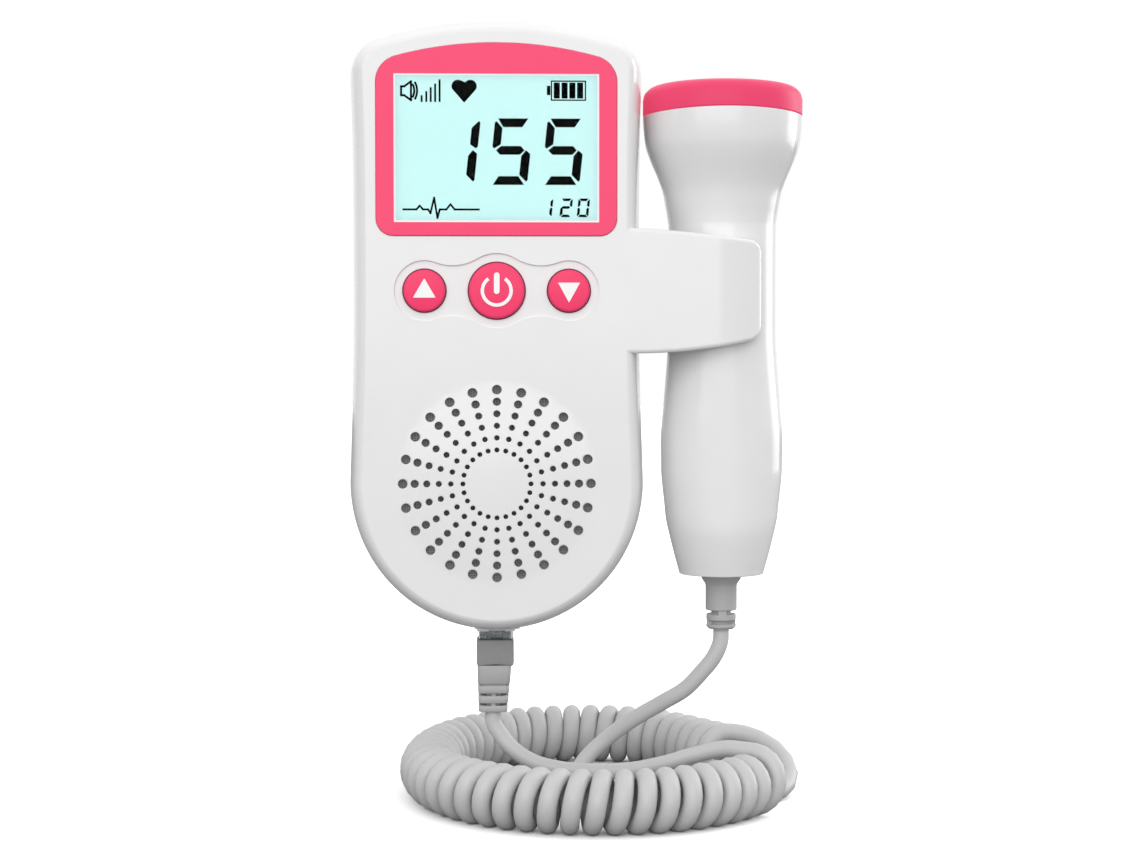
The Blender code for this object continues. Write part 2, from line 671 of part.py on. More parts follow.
def make_front_shell():
    shell = add_piece("front_shell", shell_solid(True, FRONT_CROWN_SHARES, FRONT_INSET, 0.0), WHITE)
    hollow = shell_solid(True, FRONT_CROWN_SHARES, FRONT_INSET, WALL)
    combine(shell, hollow, "DIFFERENCE", "hollow")
    root = FRONT_IN + WALL / 2
    inner = SPEAKER_RADIUS + GAP
    outer = inner + SPEAKER_WALL_THICKNESS
    low = FRONT_IN - SPEAKER_WALL_HEIGHT
    wall = ((inner, low), (outer, low), (outer, root), (inner, root))
    bosses = [turned(wall, SPEAKER_SIDES, (0.0, 0.0, GRILLE_Z), True)]
    bosses += [rod(BOARD_BOSS_RADIUS, BOARD_FRONT + GAP, root, 8, (x, 0.0, z), True)
               for x, z in board_screw_places()]
    pinned = ((0.0, BOARD_BACK), (BOARD_SCREW_RADIUS, BOARD_BACK), (BOARD_SCREW_RADIUS, BOARD_FRONT + GAP),
              (BOARD_BOSS_RADIUS, BOARD_FRONT + GAP), (BOARD_BOSS_RADIUS, root), (0.0, root))
    bosses += [turned(pinned, 8, (x, 0.0, z), True) for x, z in board_pin_places()]
    bosses += [rod(BOSS_RADIUS, HALF_DEPTH + GAP / 2, root, 10, (x, 0.0, z), True)
               for x, z in case_screw_places()]
    combine(shell, gathered(bosses), "UNION", "bosses")
    combine(shell, grille_dome(), "UNION", "dome")
    combine(shell, finger(True, FRONT_INSET), "UNION", "finger")
    combine(shell, prism(bezel_outline(GAP), BEZEL_BACK - GAP, BODY_DEPTH + OVERRUN), "DIFFERENCE",
            "bezel_seat")
    lcd_half = WINDOW_HALF + LCD_LAP + GAP
    lcd_opening = slab(lcd_half, FRONT_IN - OVERRUN, BODY_DEPTH, WINDOW_BOTTOM - LCD_LAP - GAP,
                       WINDOW_TOP + LCD_LAP + GAP)
    combine(shell, lcd_opening, "DIFFERENCE", "lcd_opening")
    combine(shell, prism(tray_outline(), BODY_DEPTH - TRAY_DEPTH, BODY_DEPTH + OVERRUN),
            "DIFFERENCE", "tray")
    key_holes = [rod(radius + GAP, FRONT_IN - OVERRUN, BODY_DEPTH, KEY_SIDES, (x, 0.0, KEY_Z), True)
                 for name, x, radius in key_places()]
    combine(shell, gathered(key_holes), "DIFFERENCE", "key_holes")
    combine(shell, grille_holes(), "DIFFERENCE", "grille_holes")
    screw_holes = [rod(SCREW_RADIUS + GAP, HALF_DEPTH - OVERRUN, HALF_DEPTH + SCREW_BITE + 2 * GAP,
                       8, (x, 0.0, z), True) for x, z in case_screw_places()]
    screw_holes += [rod(BOARD_SCREW_RADIUS + GAP, BOARD_FRONT - OVERRUN,
                        BOARD_FRONT + BOARD_SCREW_BITE + 2 * GAP, 8, (x, 0.0, z), True)
                    for x, z in board_screw_places()]
    combine(shell, gathered(screw_holes), "DIFFERENCE", "screw_holes")
    combine(shell, jack_opening(), "DIFFERENCE", "jack_opening")


def make_rear_shell():
    shell = add_piece("rear_shell", shell_solid(False, REAR_CROWN_SHARES, REAR_INSET, 0.0), WHITE)
    hollow = shell_solid(False, REAR_CROWN_SHARES, REAR_INSET, WALL)
    combine(shell, hollow, "DIFFERENCE", "hollow")
    bay = slab(BAY_HALF + BAY_WALL, WALL / 2, BAY_FLOOR + BAY_WALL, BAY_BOTTOM - BAY_WALL,
               BAY_TOP + BAY_WALL)
    combine(shell, bay, "UNION", "bay")
    bosses = [rod(REAR_BOSS_RADIUS, WALL / 2, HALF_DEPTH - GAP / 2, 10, (x, 0.0, z), True)
              for x, z in case_screw_places()]
    combine(shell, gathered(bosses), "UNION", "bosses")
    combine(shell, finger(False, REAR_INSET), "UNION", "finger")
    battery_room = slab(BAY_HALF, BAY_LIP, BAY_FLOOR, BAY_BOTTOM, RIB_BOTTOM)
    combine(shell, battery_room, "DIFFERENCE", "battery_room")
    hook_room = slab(BAY_HALF, BAY_LIP, BAY_RIB_SETBACK, RIB_BOTTOM - SKIN, BAY_TOP)
    combine(shell, hook_room, "DIFFERENCE", "hook_room")
    opening = slab(DOOR_HALF + GAP, -OVERRUN, DOOR_THICKNESS + GAP, DOOR_BOTTOM - GAP,
                   DOOR_TOP + GAP)
    combine(shell, opening, "DIFFERENCE", "door_opening")
    wells = [rod(SCREW_HEAD_RADIUS + GAP, -OVERRUN, SCREW_SEAT, 10, (x, 0.0, z), True)
             for x, z in case_screw_places()]
    combine(shell, gathered(wells), "DIFFERENCE", "screw_wells")
    holes = [rod(SCREW_RADIUS + GAP, SCREW_SEAT - OVERRUN, HALF_DEPTH + OVERRUN, 8, (x, 0.0, z),
                 True) for x, z in case_screw_places()]
    combine(shell, gathered(holes), "DIFFERENCE", "screw_holes")
    combine(shell, jack_opening(), "DIFFERENCE", "jack_opening")


def make_screen():
    bezel = add_piece("screen_bezel", prism(bezel_outline(0.0), BEZEL_BACK,
                                            BODY_DEPTH + BEZEL_PROUD), BRIGHT_PINK)
    window_hole = slab(WINDOW_HALF, BEZEL_BACK - OVERRUN, BODY_DEPTH + OVERRUN, WINDOW_BOTTOM,
                       WINDOW_TOP)
    combine(bezel, window_hole, "DIFFERENCE", "window_hole")
    window = slab(WINDOW_HALF - GAP, BEZEL_BACK, BODY_DEPTH + BEZEL_PROUD - WINDOW_SETBACK,
                  WINDOW_BOTTOM + GAP, WINDOW_TOP - GAP)
    add_piece("screen_window", window, CLEAR)
    half = WINDOW_HALF + LCD_LAP
    bottom = WINDOW_BOTTOM - LCD_LAP
    top = WINDOW_TOP + LCD_LAP
    add_piece("lcd_panel", slab(half, LCD_BACK, LCD_FRONT, bottom, top), SCREEN)
    strip_top = bottom + CONNECTOR_HEIGHT
    backlight = slab(half, LCD_BACK - GAP - BACKLIGHT_THICKNESS, LCD_BACK - GAP, strip_top + GAP, top)
    add_piece("lcd_backlight", backlight, WHITE)
    strip = slab(half - CONNECTOR_SHORTER, BOARD_FRONT + GAP, LCD_BACK - GAP, bottom, strip_top)
    add_piece("lcd_connector", strip, PINK)


def make_board():
    board = add_piece("main_board", slab(BOARD_HALF, BOARD_BACK, BOARD_FRONT, BOARD_BOTTOM,
                                         BOARD_TOP), BOARD)
    holes = [rod(BOARD_SCREW_RADIUS + GAP, BOARD_BACK - OVERRUN, BOARD_FRONT + OVERRUN, 8,
                 (x, 0.0, z), True) for x, z in board_screw_places() + board_pin_places()]
    combine(board, gathered(holes), "DIFFERENCE", "screw_holes")
    head_top = BOARD_BACK - GAP - BOARD_HEAD_HEIGHT
    profile = ((0.0, head_top), (BOARD_HEAD_RADIUS, head_top), (BOARD_HEAD_RADIUS, BOARD_BACK - GAP),
               (BOARD_SCREW_RADIUS, BOARD_BACK - GAP),
               (BOARD_SCREW_RADIUS, BOARD_FRONT + BOARD_SCREW_BITE),
               (0.0, BOARD_FRONT + BOARD_SCREW_BITE))
    for number, (x, z) in enumerate(board_screw_places(), 1):
        add_piece(f"board_screw_{number}", turned(profile, 8, (x, 0.0, z), True), STEEL)
    back = BOARD_BACK - GAP
    middle = (BOARD_TOP + BOARD_BOTTOM) / 2
    chip = slab(CHIP_SIZE / 2, back - CHIP_THICKNESS, back, middle, middle + CHIP_SIZE)
    add_piece("main_chip", chip, BLACK)
    amplifier_bottom = BOARD_BOTTOM + AMPLIFIER_SIZE
    amplifier = slab(AMPLIFIER_SIZE / 2, back - CHIP_THICKNESS, back, amplifier_bottom,
                     amplifier_bottom + AMPLIFIER_SIZE)
    add_piece("amplifier_chip", amplifier, BLACK)


def make_key(name, x, radius):
    """A key that floats behind the front, with the switch that it presses."""
    place = (x, 0.0, KEY_Z)
    flange_front = FRONT_IN - GAP
    flange_back = flange_front - KEY_FLANGE_THICKNESS
    stem_back = PLUNGER_FRONT + GAP
    top = BODY_DEPTH + KEY_PROUD
    profile = ((0.0, stem_back), (KEY_STEM_RADIUS, stem_back), (KEY_STEM_RADIUS, flange_back),
               (radius + KEY_FLANGE, flange_back), (radius + KEY_FLANGE, flange_front),
               (radius, flange_front), (radius, top - KEY_ROUND - KEY_CROWN),
               (radius - KEY_ROUND, top - KEY_CROWN), (0.0, top))
    add_piece(f"{name}_key", turned(profile, KEY_SIDES, place, True), PINK, True)
    plunger = rod(PLUNGER_RADIUS, PLUNGER_BACK, PLUNGER_FRONT, 12, place, True)
    add_piece(f"{name}_switch_plunger", plunger, BLACK)
    half = SWITCH_SIZE / 2
    housing = slab(half, BOARD_FRONT + GAP, SWITCH_FRONT, KEY_Z - half, KEY_Z + half, x)
    housing = add_piece(f"{name}_switch_housing", housing, BLACK)
    well_floor = PLUNGER_BACK - KEY_TRAVEL - GAP
    well = rod(PLUNGER_RADIUS + GAP, well_floor, SWITCH_FRONT + OVERRUN, 12, place, True)
    combine(housing, well, "DIFFERENCE", "well")


def make_speaker():
    place = (0.0, 0.0, GRILLE_Z)
    inner = SPEAKER_RADIUS - SPEAKER_RIM
    back = GASKET_FRONT - GASKET_THICKNESS
    gasket = ((inner, back), (SPEAKER_RADIUS, back), (SPEAKER_RADIUS, GASKET_FRONT),
              (inner, GASKET_FRONT))
    add_piece("speaker_gasket", turned(gasket, SPEAKER_SIDES, place, True), FOAM)
    flange_back = FRAME_FRONT - FRAME_FLANGE
    frame = ((SPEAKER_RADIUS, FRAME_FRONT), (SPEAKER_RADIUS, flange_back),
             (SPEAKER_RADIUS - FRAME_FLANGE, flange_back), (FRAME_FOOT_RADIUS, FRAME_BACK),
             (FRAME_EYE_RADIUS, FRAME_BACK), (FRAME_EYE_RADIUS, FRAME_BACK + FRAME_WALL),
             (FRAME_FOOT_RADIUS - FRAME_WALL / 2, FRAME_BACK + FRAME_WALL),
             (inner - GAP, FRAME_FRONT - CONE_THICKNESS), (inner - GAP, FRAME_FRONT))
    add_piece("speaker_frame", turned(frame, SPEAKER_SIDES, place, True), BLACK, True)
    rim = inner - 2 * GAP
    neck = FRAME_FRONT - CONE_DEPTH
    cone = ((0.0, neck + DUST_CAP_RISE), (CONE_NECK, neck), (rim, FRAME_FRONT),
            (rim, FRAME_FRONT - CONE_THICKNESS + SKIN), (CONE_NECK, neck - CONE_THICKNESS),
            (0.0, neck + DUST_CAP_RISE - CONE_THICKNESS))
    add_piece("speaker_cone", turned(cone, SPEAKER_SIDES, place, True), PAPER, True)
    magnet_front = FRAME_BACK - GAP
    magnet = rod(MAGNET_RADIUS, magnet_front - MAGNET_HEIGHT, magnet_front, SPEAKER_SIDES, place, True)
    add_piece("speaker_magnet", magnet, STEEL, True)


def make_case_screws():
    profile = ((0.0, SCREW_SEAT - GAP - SCREW_HEAD_HEIGHT),
               (SCREW_HEAD_RADIUS, SCREW_SEAT - GAP - SCREW_HEAD_HEIGHT),
               (SCREW_HEAD_RADIUS, SCREW_SEAT - GAP), (SCREW_RADIUS, SCREW_SEAT - GAP),
               (SCREW_RADIUS, HALF_DEPTH + SCREW_BITE), (0.0, HALF_DEPTH + SCREW_BITE))
    for number, (x, z) in enumerate(case_screw_places(), 1):
        add_piece(f"case_screw_{number}", turned(profile, 8, (x, 0.0, z), True), STEEL)


def battery(x, bottom, nub_up):
    """One cell; its nub is at the end that nub_up names."""
    can_top = BATTERY_LENGTH - BATTERY_NUB_HEIGHT
    shoulder = BATTERY_RADIUS - BATTERY_ROUND
    profile = [(0.0, 0.0), (shoulder, 0.0), (BATTERY_RADIUS, BATTERY_ROUND),
               (BATTERY_RADIUS, can_top - BATTERY_ROUND), (shoulder, can_top),
               (BATTERY_NUB_RADIUS, can_top), (BATTERY_NUB_RADIUS, BATTERY_LENGTH),
               (0.0, BATTERY_LENGTH)]
    if not nub_up:
        profile = [(radius, BATTERY_LENGTH - height) for radius, height in profile]
    return turned(profile, 16, (x, -BATTERY_Y, bottom))


def battery_spring(name, x, foot, upward):
    """A tapering wire spring that stands on its contact plate."""
    steps = SPRING_TURNS * SPRING_STEPS
    rise = SPRING_LENGTH - SPRING_WIRE
    direction = 1 if upward else -1
    points = []
    for step in range(steps + 1):
        share = step / steps
        angle = math.tau * SPRING_TURNS * share
        radius = SPRING_FOOT + (SPRING_TIP - SPRING_FOOT) * share
        points.append((x + radius * math.cos(angle), -BATTERY_Y + radius * math.sin(angle),
                       foot + direction * (SPRING_WIRE / 2 + rise * share)))
    add_tube(name, points, SPRING_WIRE / 2, 0, STEEL)


def make_batteries():
    side = BATTERY_SPACING / 2
    add_piece("battery_1", battery(-side, BATTERY_1_BOTTOM, True), BATTERY_GREEN, True)
    add_piece("battery_2", battery(side, STACK_START, False), BATTERY_GREEN, True)
    low_y = BATTERY_Y - PLATE_HEIGHT / 2
    high_y = BATTERY_Y + PLATE_HEIGHT / 2
    low = BAY_BOTTOM + GAP
    bridge = slab(BAY_HALF - GAP, low_y, high_y, low, low + PLATE_THICKNESS)
    add_piece("contact_bridge", bridge, STEEL)
    top = RIB_BOTTOM - GAP
    half = side - 2 * GAP
    for name, x in (("contact_positive", -side), ("contact_negative", side)):
        plate = slab(half, max(low_y, BAY_RIB_SETBACK), high_y, top - PLATE_THICKNESS, top, x)
        add_piece(name, plate, STEEL)
    battery_spring("battery_spring_1", -side, STACK_START, True)
    battery_spring("battery_spring_2", side, STACK_END, False)


def make_door():
    plate = slab(DOOR_HALF, 0.0, DOOR_THICKNESS, DOOR_BOTTOM, DOOR_TOP)
    door = add_piece("battery_door", plate, WHITE)
    hook_back = BAY_LIP + GAP
    root = DOOR_TOP - HOOK_ROOT
    outline = ((hook_back + HOOK_THICKNESS, root), (hook_back + HOOK_THICKNESS, DOOR_TOP + HOOK_REACH),
               (hook_back, DOOR_TOP + HOOK_REACH), (hook_back, DOOR_TOP - GAP),
               (DOOR_THICKNESS - SKIN, DOOR_TOP - GAP), (DOOR_THICKNESS - SKIN, root))
    hooks = []
    for side in (-1, 1):
        middle = side * HOOK_PLACE
        ends = (middle - HOOK_WIDTH / 2, middle + HOOK_WIDTH / 2)
        hooks.append(loft([[(x, -depth, z) for depth, z in outline] for x in ends]))
    combine(door, gathered(hooks), "UNION", "hooks")
    grooves = []
    for index in range(GRIP_GROOVES):
        low = DOOR_BOTTOM + (index + 1) * GRIP_GROOVE_PITCH
        grooves.append(slab(GRIP_GROOVE_HALF, -OVERRUN, GRIP_GROOVE_DEPTH, low,
                            low + GRIP_GROOVE_WIDTH))
    combine(door, gathered(grooves), "DIFFERENCE", "grip_grooves")


def make_jack():
    jack = add_piece("probe_jack", slab(JACK_HALF_WIDTH, HALF_DEPTH - JACK_HALF_DEPTH,
                                        HALF_DEPTH + JACK_HALF_DEPTH, JACK_BOTTOM,
                                        JACK_BOTTOM + JACK_HEIGHT), WHITE)
    half_depth = PLUG_DEPTH / 2 + GAP
    top = JACK_BOTTOM + JACK_CAVITY
    cavity = slab(PLUG_WIDTH / 2 + GAP, HALF_DEPTH - half_depth, HALF_DEPTH + half_depth,
                  JACK_BOTTOM - OVERRUN, top)
    combine(jack, cavity, "DIFFERENCE", "cavity")
    groove = slab(JACK_GROOVE_HALF, HALF_DEPTH, HALF_DEPTH + half_depth + JACK_GROOVE_DEPTH,
                  JACK_BOTTOM - OVERRUN, top)
    combine(jack, groove, "DIFFERENCE", "latch_groove")


def blade_places():
    return [(index - 1.5) * BLADE_PITCH for index in range(4)]


def make_plug():
    half_depth = PLUG_DEPTH / 2
    back = HALF_DEPTH - half_depth
    front = HALF_DEPTH + half_depth
    plug = add_piece("plug_body", slab(PLUG_WIDTH / 2, back, front, PLUG_BODY_BOTTOM, PLUG_NOSE),
                     CLEAR)
    blade_top = PLUG_NOSE - BLADE_FROM_NOSE
    blade_bottom = blade_top - BLADE_LENGTH
    slots = [slab(BLADE_THICKNESS / 2 + GAP, back - OVERRUN, back + BLADE_DEPTH + GAP,
                  blade_bottom - GAP, blade_top + GAP, x) for x in blade_places()]
    combine(plug, gathered(slots), "DIFFERENCE", "blade_slots")
    for number, x in enumerate(blade_places(), 1):
        blade = slab(BLADE_THICKNESS / 2, back + SKIN, back + BLADE_DEPTH, blade_bottom, blade_top, x)
        add_piece(f"plug_contact_{number}", blade, GOLD)
    root = PLUG_NOSE - LATCH_FROM_NOSE
    inner = front + GAP
    rings = []
    for share in (0.0, 1.0):
        z = root - share * LATCH_LENGTH
        near = -(inner + share * LATCH_LIFT)
        far = near - LATCH_THICKNESS
        rings.append([(-LATCH_HALF, near, z), (LATCH_HALF, near, z), (LATCH_HALF, far, z),
                      (-LATCH_HALF, far, z)])
    add_piece("plug_latch", loft(rings), CLEAR)
    sleeve = slab(PLUG_SLEEVE_WIDTH / 2, back, front, SLEEVE_TOP - PLUG_SLEEVE_LENGTH, SLEEVE_TOP)
    add_piece("plug_sleeve", sleeve, SLEEVE_GREY)


def boot_ring(length_share, width_share):
    """One bevelled section of the boot."""
    width = BOOT_TOP_WIDTH + (BOOT_BOTTOM_WIDTH - BOOT_TOP_WIDTH) * length_share
    x = width_share * width / 2
    y = x * BOOT_DEPTH_SHARE
    cut = x * BOOT_BEVEL_SHARE
    corners = ((x, y - cut), (x - cut, y), (cut - x, y), (-x, y - cut), (-x, cut - y), (cut - x, -y),
               (x - cut, -y), (x, cut - y))
    z = BOOT_TOP - length_share * BOOT_LENGTH
    return [(a, PARTING_Y + b, z) for a, b in corners]


def make_boot():
    rings = [boot_ring(0.0, 1.0)]
    for start, end in BOOT_GROOVE_SHARES:
        rings += [boot_ring(start, 1.0), boot_ring(start, BOOT_CORE_SHARE),
                  boot_ring(end, BOOT_CORE_SHARE), boot_ring(end, 1.0)]
    rings.append(boot_ring(1.0, 1.0))
    add_piece("plug_boot", loft(rings), RELIEF_GREY)


def probe_half_width(shares):
    height, head, grip, foot = shares
    return (PROBE_NECK_RADIUS + head * (PROBE_HEAD_RADIUS - PROBE_NECK_RADIUS)
            + grip * (PROBE_GRIP_HALF - PROBE_NECK_RADIUS) - foot * (PROBE_NECK_RADIUS - PROBE_FOOT_HALF))


def oval(half_x, half_y, z, sides):
    angles = [math.tau * side / sides for side in range(sides)]
    return [(PROBE_X + half_x * math.cos(a), PARTING_Y + half_y * math.sin(a), z) for a in angles]


def probe_solid(wall):
    """The probe's outer form, or the space inside its wall. Its grip is flattened front to back."""
    rings = []
    for shares in PROBE_SHARES:
        height = shares[0]
        half_x = probe_half_width(shares) - wall
        half_y = half_x
        if height < PROBE_ROUND_ABOVE_SHARE:
            half_y = min(half_x, PROBE_NECK_RADIUS - wall)
        z = PROBE_FOOT_Z + height * PROBE_LENGTH
        if wall and height == 0.0:
            z += wall
        if wall and height == 1.0:
            z += OVERRUN
        if not wall or z > PROBE_FOOT_Z + wall or height == 0.0:
            rings.append(oval(half_x, half_y, z, PROBE_SIDES))
    return loft(rings)


def make_probe_shells():
    reach = PROBE_HEAD_RADIUS + OVERRUN
    low = PROBE_FOOT_Z - OVERRUN
    high = CAP_LINE + 2 * OVERRUN
    half_gap = GAP / 2
    halves = (("probe_shell_front", PARTING_Y - half_gap, PARTING_Y + reach),
              ("probe_shell_rear", PARTING_Y - reach, PARTING_Y + half_gap))
    for name, start, end in halves:
        shell = add_piece(name, probe_solid(0.0), WHITE, True)
        combine(shell, probe_solid(PROBE_WALL), "DIFFERENCE", "hollow")
        other = block((PROBE_X - reach, start, low), (PROBE_X + reach, end, high))
        combine(shell, other, "DIFFERENCE", "other_half")
        bore = rod(RELIEF_RADIUS + GAP, low, PROBE_FOOT_Z + PROBE_WALL + OVERRUN, 16,
                   (PROBE_X, PARTING_Y, 0.0))
        combine(shell, bore, "DIFFERENCE", "cord_bore")


def make_cap():
    """The soft-coloured head that goes against the skin, hollow from below."""
    low = CAP_LINE + GAP / 2
    side = low + CAP_SIDE
    rise = CAP_HEIGHT - CAP_SIDE
    outer = [(PROBE_HEAD_RADIUS * radius, side + rise * up) for radius, up in CAP_TOP_SHARES]
    outer.append((0.0, low + CAP_HEIGHT))
    inner = PROBE_HEAD_RADIUS - CAP_WALL
    profile = [(0.0, CAP_INNER_TOP), (BACKING_RADIUS + CAP_WALL, CAP_INNER_TOP), (inner, side - SKIN),
               (inner, low), (PROBE_HEAD_RADIUS, low)] + outer
    add_piece("probe_cap", turned(profile, PROBE_SIDES, (PROBE_X, PARTING_Y, 0.0)), PINK, True)


def half_disc(name, side):
    top = CAP_INNER_TOP - GAP
    points = arc(0.0, 0.0, CRYSTAL_RADIUS, 0.0, math.pi, 12)
    shift = CRYSTAL_PART / 2
    rings = []
    for z in (top - CRYSTAL_THICKNESS, top):
        rings.append([(PROBE_X + side * (shift + x), PARTING_Y + y, z) for x, y in points])
    add_piece(name, loft(rings), CERAMIC)


def make_probe_inside():
    half_disc("transmit_crystal", -1)
    half_disc("receive_crystal", 1)
    axis = (PROBE_X, PARTING_Y, 0.0)
    backing_top = CAP_INNER_TOP - GAP - CRYSTAL_THICKNESS - GAP
    backing_bottom = backing_top - BACKING_THICKNESS
    backing = rod(BACKING_RADIUS, backing_bottom, backing_top, PROBE_SIDES, axis)
    add_piece("crystal_backing", backing, BLACK, True)
    carrier_top = backing_bottom - GAP
    radius = PROBE_HEAD_RADIUS - PROBE_WALL - 2 * GAP
    carrier = rod(radius, carrier_top - CARRIER_THICKNESS, carrier_top, PROBE_SIDES, axis)
    add_piece("probe_carrier", carrier, WHITE, True)
    half = PROBE_NECK_RADIUS - PROBE_WALL - 1.5 * GAP
    low, high = [PROBE_FOOT_Z + share * PROBE_LENGTH for share in PROBE_BOARD_SHARES]
    thickness = PROBE_BOARD_THICKNESS / 2
    board = block((PROBE_X - half, PARTING_Y - thickness, low),
                  (PROBE_X + half, PARTING_Y + thickness, high))
    add_piece("probe_board", board, BOARD)


def make_strain_relief():
    collar_bottom = RELIEF_COLLAR_TOP - RELIEF_COLLAR_HEIGHT
    flange_bottom = RELIEF_TOP - RELIEF_FLANGE_HEIGHT
    ring_top = RELIEF_BODY_END - RELIEF_GROOVE
    ring_bottom = ring_top - RELIEF_RING
    lip_top = ring_bottom - RELIEF_GROOVE
    profile = ((0.0, RELIEF_TOP), (RELIEF_FLANGE_RADIUS, RELIEF_TOP),
               (RELIEF_FLANGE_RADIUS, flange_bottom), (RELIEF_RADIUS, flange_bottom),
               (RELIEF_RADIUS, RELIEF_COLLAR_TOP), (RELIEF_COLLAR_RADIUS, RELIEF_COLLAR_TOP),
               (RELIEF_RADIUS, collar_bottom), (RELIEF_RADIUS, RELIEF_BODY_END),
               (RELIEF_CORE_RADIUS, RELIEF_BODY_END), (RELIEF_CORE_RADIUS, ring_top),
               (RELIEF_RING_RADIUS, ring_top), (RELIEF_RING_RADIUS, ring_bottom),
               (RELIEF_CORE_RADIUS, ring_bottom), (RELIEF_CORE_RADIUS, lip_top),
               (RELIEF_RING_RADIUS, lip_top), (RELIEF_RING_RADIUS - RELIEF_LIP_ROUND, RELIEF_BOTTOM),
               (0.0, RELIEF_BOTTOM))
    relief = turned(profile, 16, (PROBE_X, PARTING_Y, 0.0))
    add_piece("probe_strain_relief", relief, RELIEF_GREY, True)


def add_tube(name, points, radius, resolution, finish):
    """A round tube along the points, with closed ends."""
    curve = bpy.data.curves.new(name, "CURVE")
    curve.dimensions = "3D"
    curve.bevel_depth = radius
    curve.bevel_resolution = resolution
    curve.render_resolution_u = 0
    curve.use_fill_caps = True
    spline = curve.splines.new("POLY")
    spline.points.add(len(points) - 1)
    for target, point in zip(spline.points, points):
        target.co = (*point, 1.0)
    tube = bpy.data.objects.new(name, curve)
    bpy.context.scene.collection.objects.link(tube)
    give_material(tube, finish)
    return tube


def ring_radius(degrees):
    """The ring that the curls lie in goes out further at the back and is drawn in at one corner."""
    back = max(math.cos(math.radians(degrees - COIL_BACK_AT)), 0.0)
    corner = max(math.cos(math.radians(degrees - COIL_CORNER_AT)), 0.0)
    return COIL_RADIUS + COIL_BACK_EXTRA * back * back - COIL_CORNER_LESS * corner ** COIL_CORNER_POWER


def ring_walk():
    """Angles round the ring in degrees, each with the way gone along the ring up to there."""
    step = 360 / RING_SAMPLES
    angles = [COIL_START + step * i for i in range(RING_SAMPLES + 1)]
    gone = [0.0]
    for a in angles[1:]:
        gone.append(gone[-1] + ring_radius(a - step / 2) * math.radians(step))
    return gone, angles


def coil_point(turn, walk):
    """Centre of the cord after so many curls, which follow each other evenly along the ring."""
    ease = min(turn / FIRST_CURL_SHARE, 1.0)
    radius = CURL_RADIUS + FIRST_CURL_EXTRA * (1 - ease * ease * (3 - 2 * ease))
    late = max(turn - CURLS, 0.0) / LAST_CURL_SHARE
    radius += LAST_CURL_EXTRA * math.sin(math.pi * late) ** 2
    degrees = numpy.interp(turn * CURL_PITCH, *walk) + LAST_CURL_SWEEP * late * late * (3 - 2 * late)
    phase = math.tau * turn
    around = math.radians(degrees)
    out = ring_radius(degrees) + radius * math.sin(phase)
    return Vector((COIL_X + out * math.cos(around), PARTING_Y - out * math.sin(around),
                   COIL_Z + radius * math.cos(phase)))


def coil_points():
    """The whole coil, with a straight run of one diameter at each end."""
    walk = ring_walk()
    count = round((CURLS + LAST_CURL_SHARE) * CURL_POINTS)
    last = CURLS + LAST_CURL_SHARE
    points = [coil_point(last * step / count, walk) for step in range(count + 1)]
    small = last / count / 100
    inward = (coil_point(small, walk) - coil_point(0.0, walk)).normalized()
    onward = (coil_point(last, walk) - coil_point(last - small, walk)).normalized()
    return [points[0] - inward * CORD_DIAMETER] + points + [points[-1] + onward * CORD_DIAMETER]


def coil_self_gap(points):
    """Least air between one curl and the next, measured from point to point."""
    apart = CURL_POINTS // 2
    least = min((a - b).length for i, a in enumerate(points) for b in points[i + apart:])
    return least - CORD_DIAMETER


def smooth_route(points, start_way, end_way):
    """Even points along a smooth curve through the route's own points, which sets out and ends in line."""
    before = points[1] - start_way * 2 * (points[1] - points[0]).length
    after = points[-2] - end_way * 2 * (points[-2] - points[-1]).length
    ends = [before] + points + [after]
    fine = []
    for a, b, c, d in zip(ends, ends[1:], ends[2:], ends[3:]):
        for step in range(ROUTE_SAMPLES):
            t = step / ROUTE_SAMPLES
            fine.append((b * 2 + (c - a) * t + (a * 2 - b * 5 + c * 4 - d) * t * t
                         + (b * 3 - a - c * 3 + d) * t ** 3) / 2)
    fine.append(points[-1])
    length = sum((b - a).length for a, b in zip(fine, fine[1:]))
    count = max(round(length / (CORD_DIAMETER * LEAD_STEP_SHARE)), 2)
    route = [fine[0]]
    walked = 0.0
    for a, b in zip(fine, fine[1:]):
        walked += (b - a).length
        if walked >= length * len(route) / count and len(route) < count:
            route.append(b)
    return route + [fine[-1]]


def lead(name, start, start_way, middle, end, end_way):
    """A free stretch of cord; each end sets out straight, square to what it meets."""
    straight = CORD_DIAMETER * LEAD_STRAIGHT_SHARE
    first = start + start_way * straight
    last = end + end_way * straight
    points = [first] + [Vector(point) for point in middle] + [last]
    route = smooth_route(points, start_way, end_way)
    add_tube(name, [start] + route + [end], CORD_RADIUS, 2, CORD_GREY)


def make_cord():
    points = coil_points()
    print("least gap between curls:", round(coil_self_gap(points), 5))
    add_tube("cord_coil", points, CORD_RADIUS, 1, CORD_GREY)
    down = Vector((0.0, 0.0, -1.0))
    run_in = (points[0] - points[1]).normalized()
    main_start = Vector((0.0, PARTING_Y, BOOT_BOTTOM - GAP))
    lead("cord_lead_main", main_start, down, MAIN_LEAD_POINTS, points[0] + run_in * GAP, run_in)
    run_out = (points[-1] - points[-2]).normalized()
    probe_end = Vector((PROBE_X, PARTING_Y, RELIEF_BOTTOM - GAP))
    lead("cord_lead_probe", points[-1] + run_out * GAP, run_out, PROBE_LEAD_POINTS, probe_end, down)


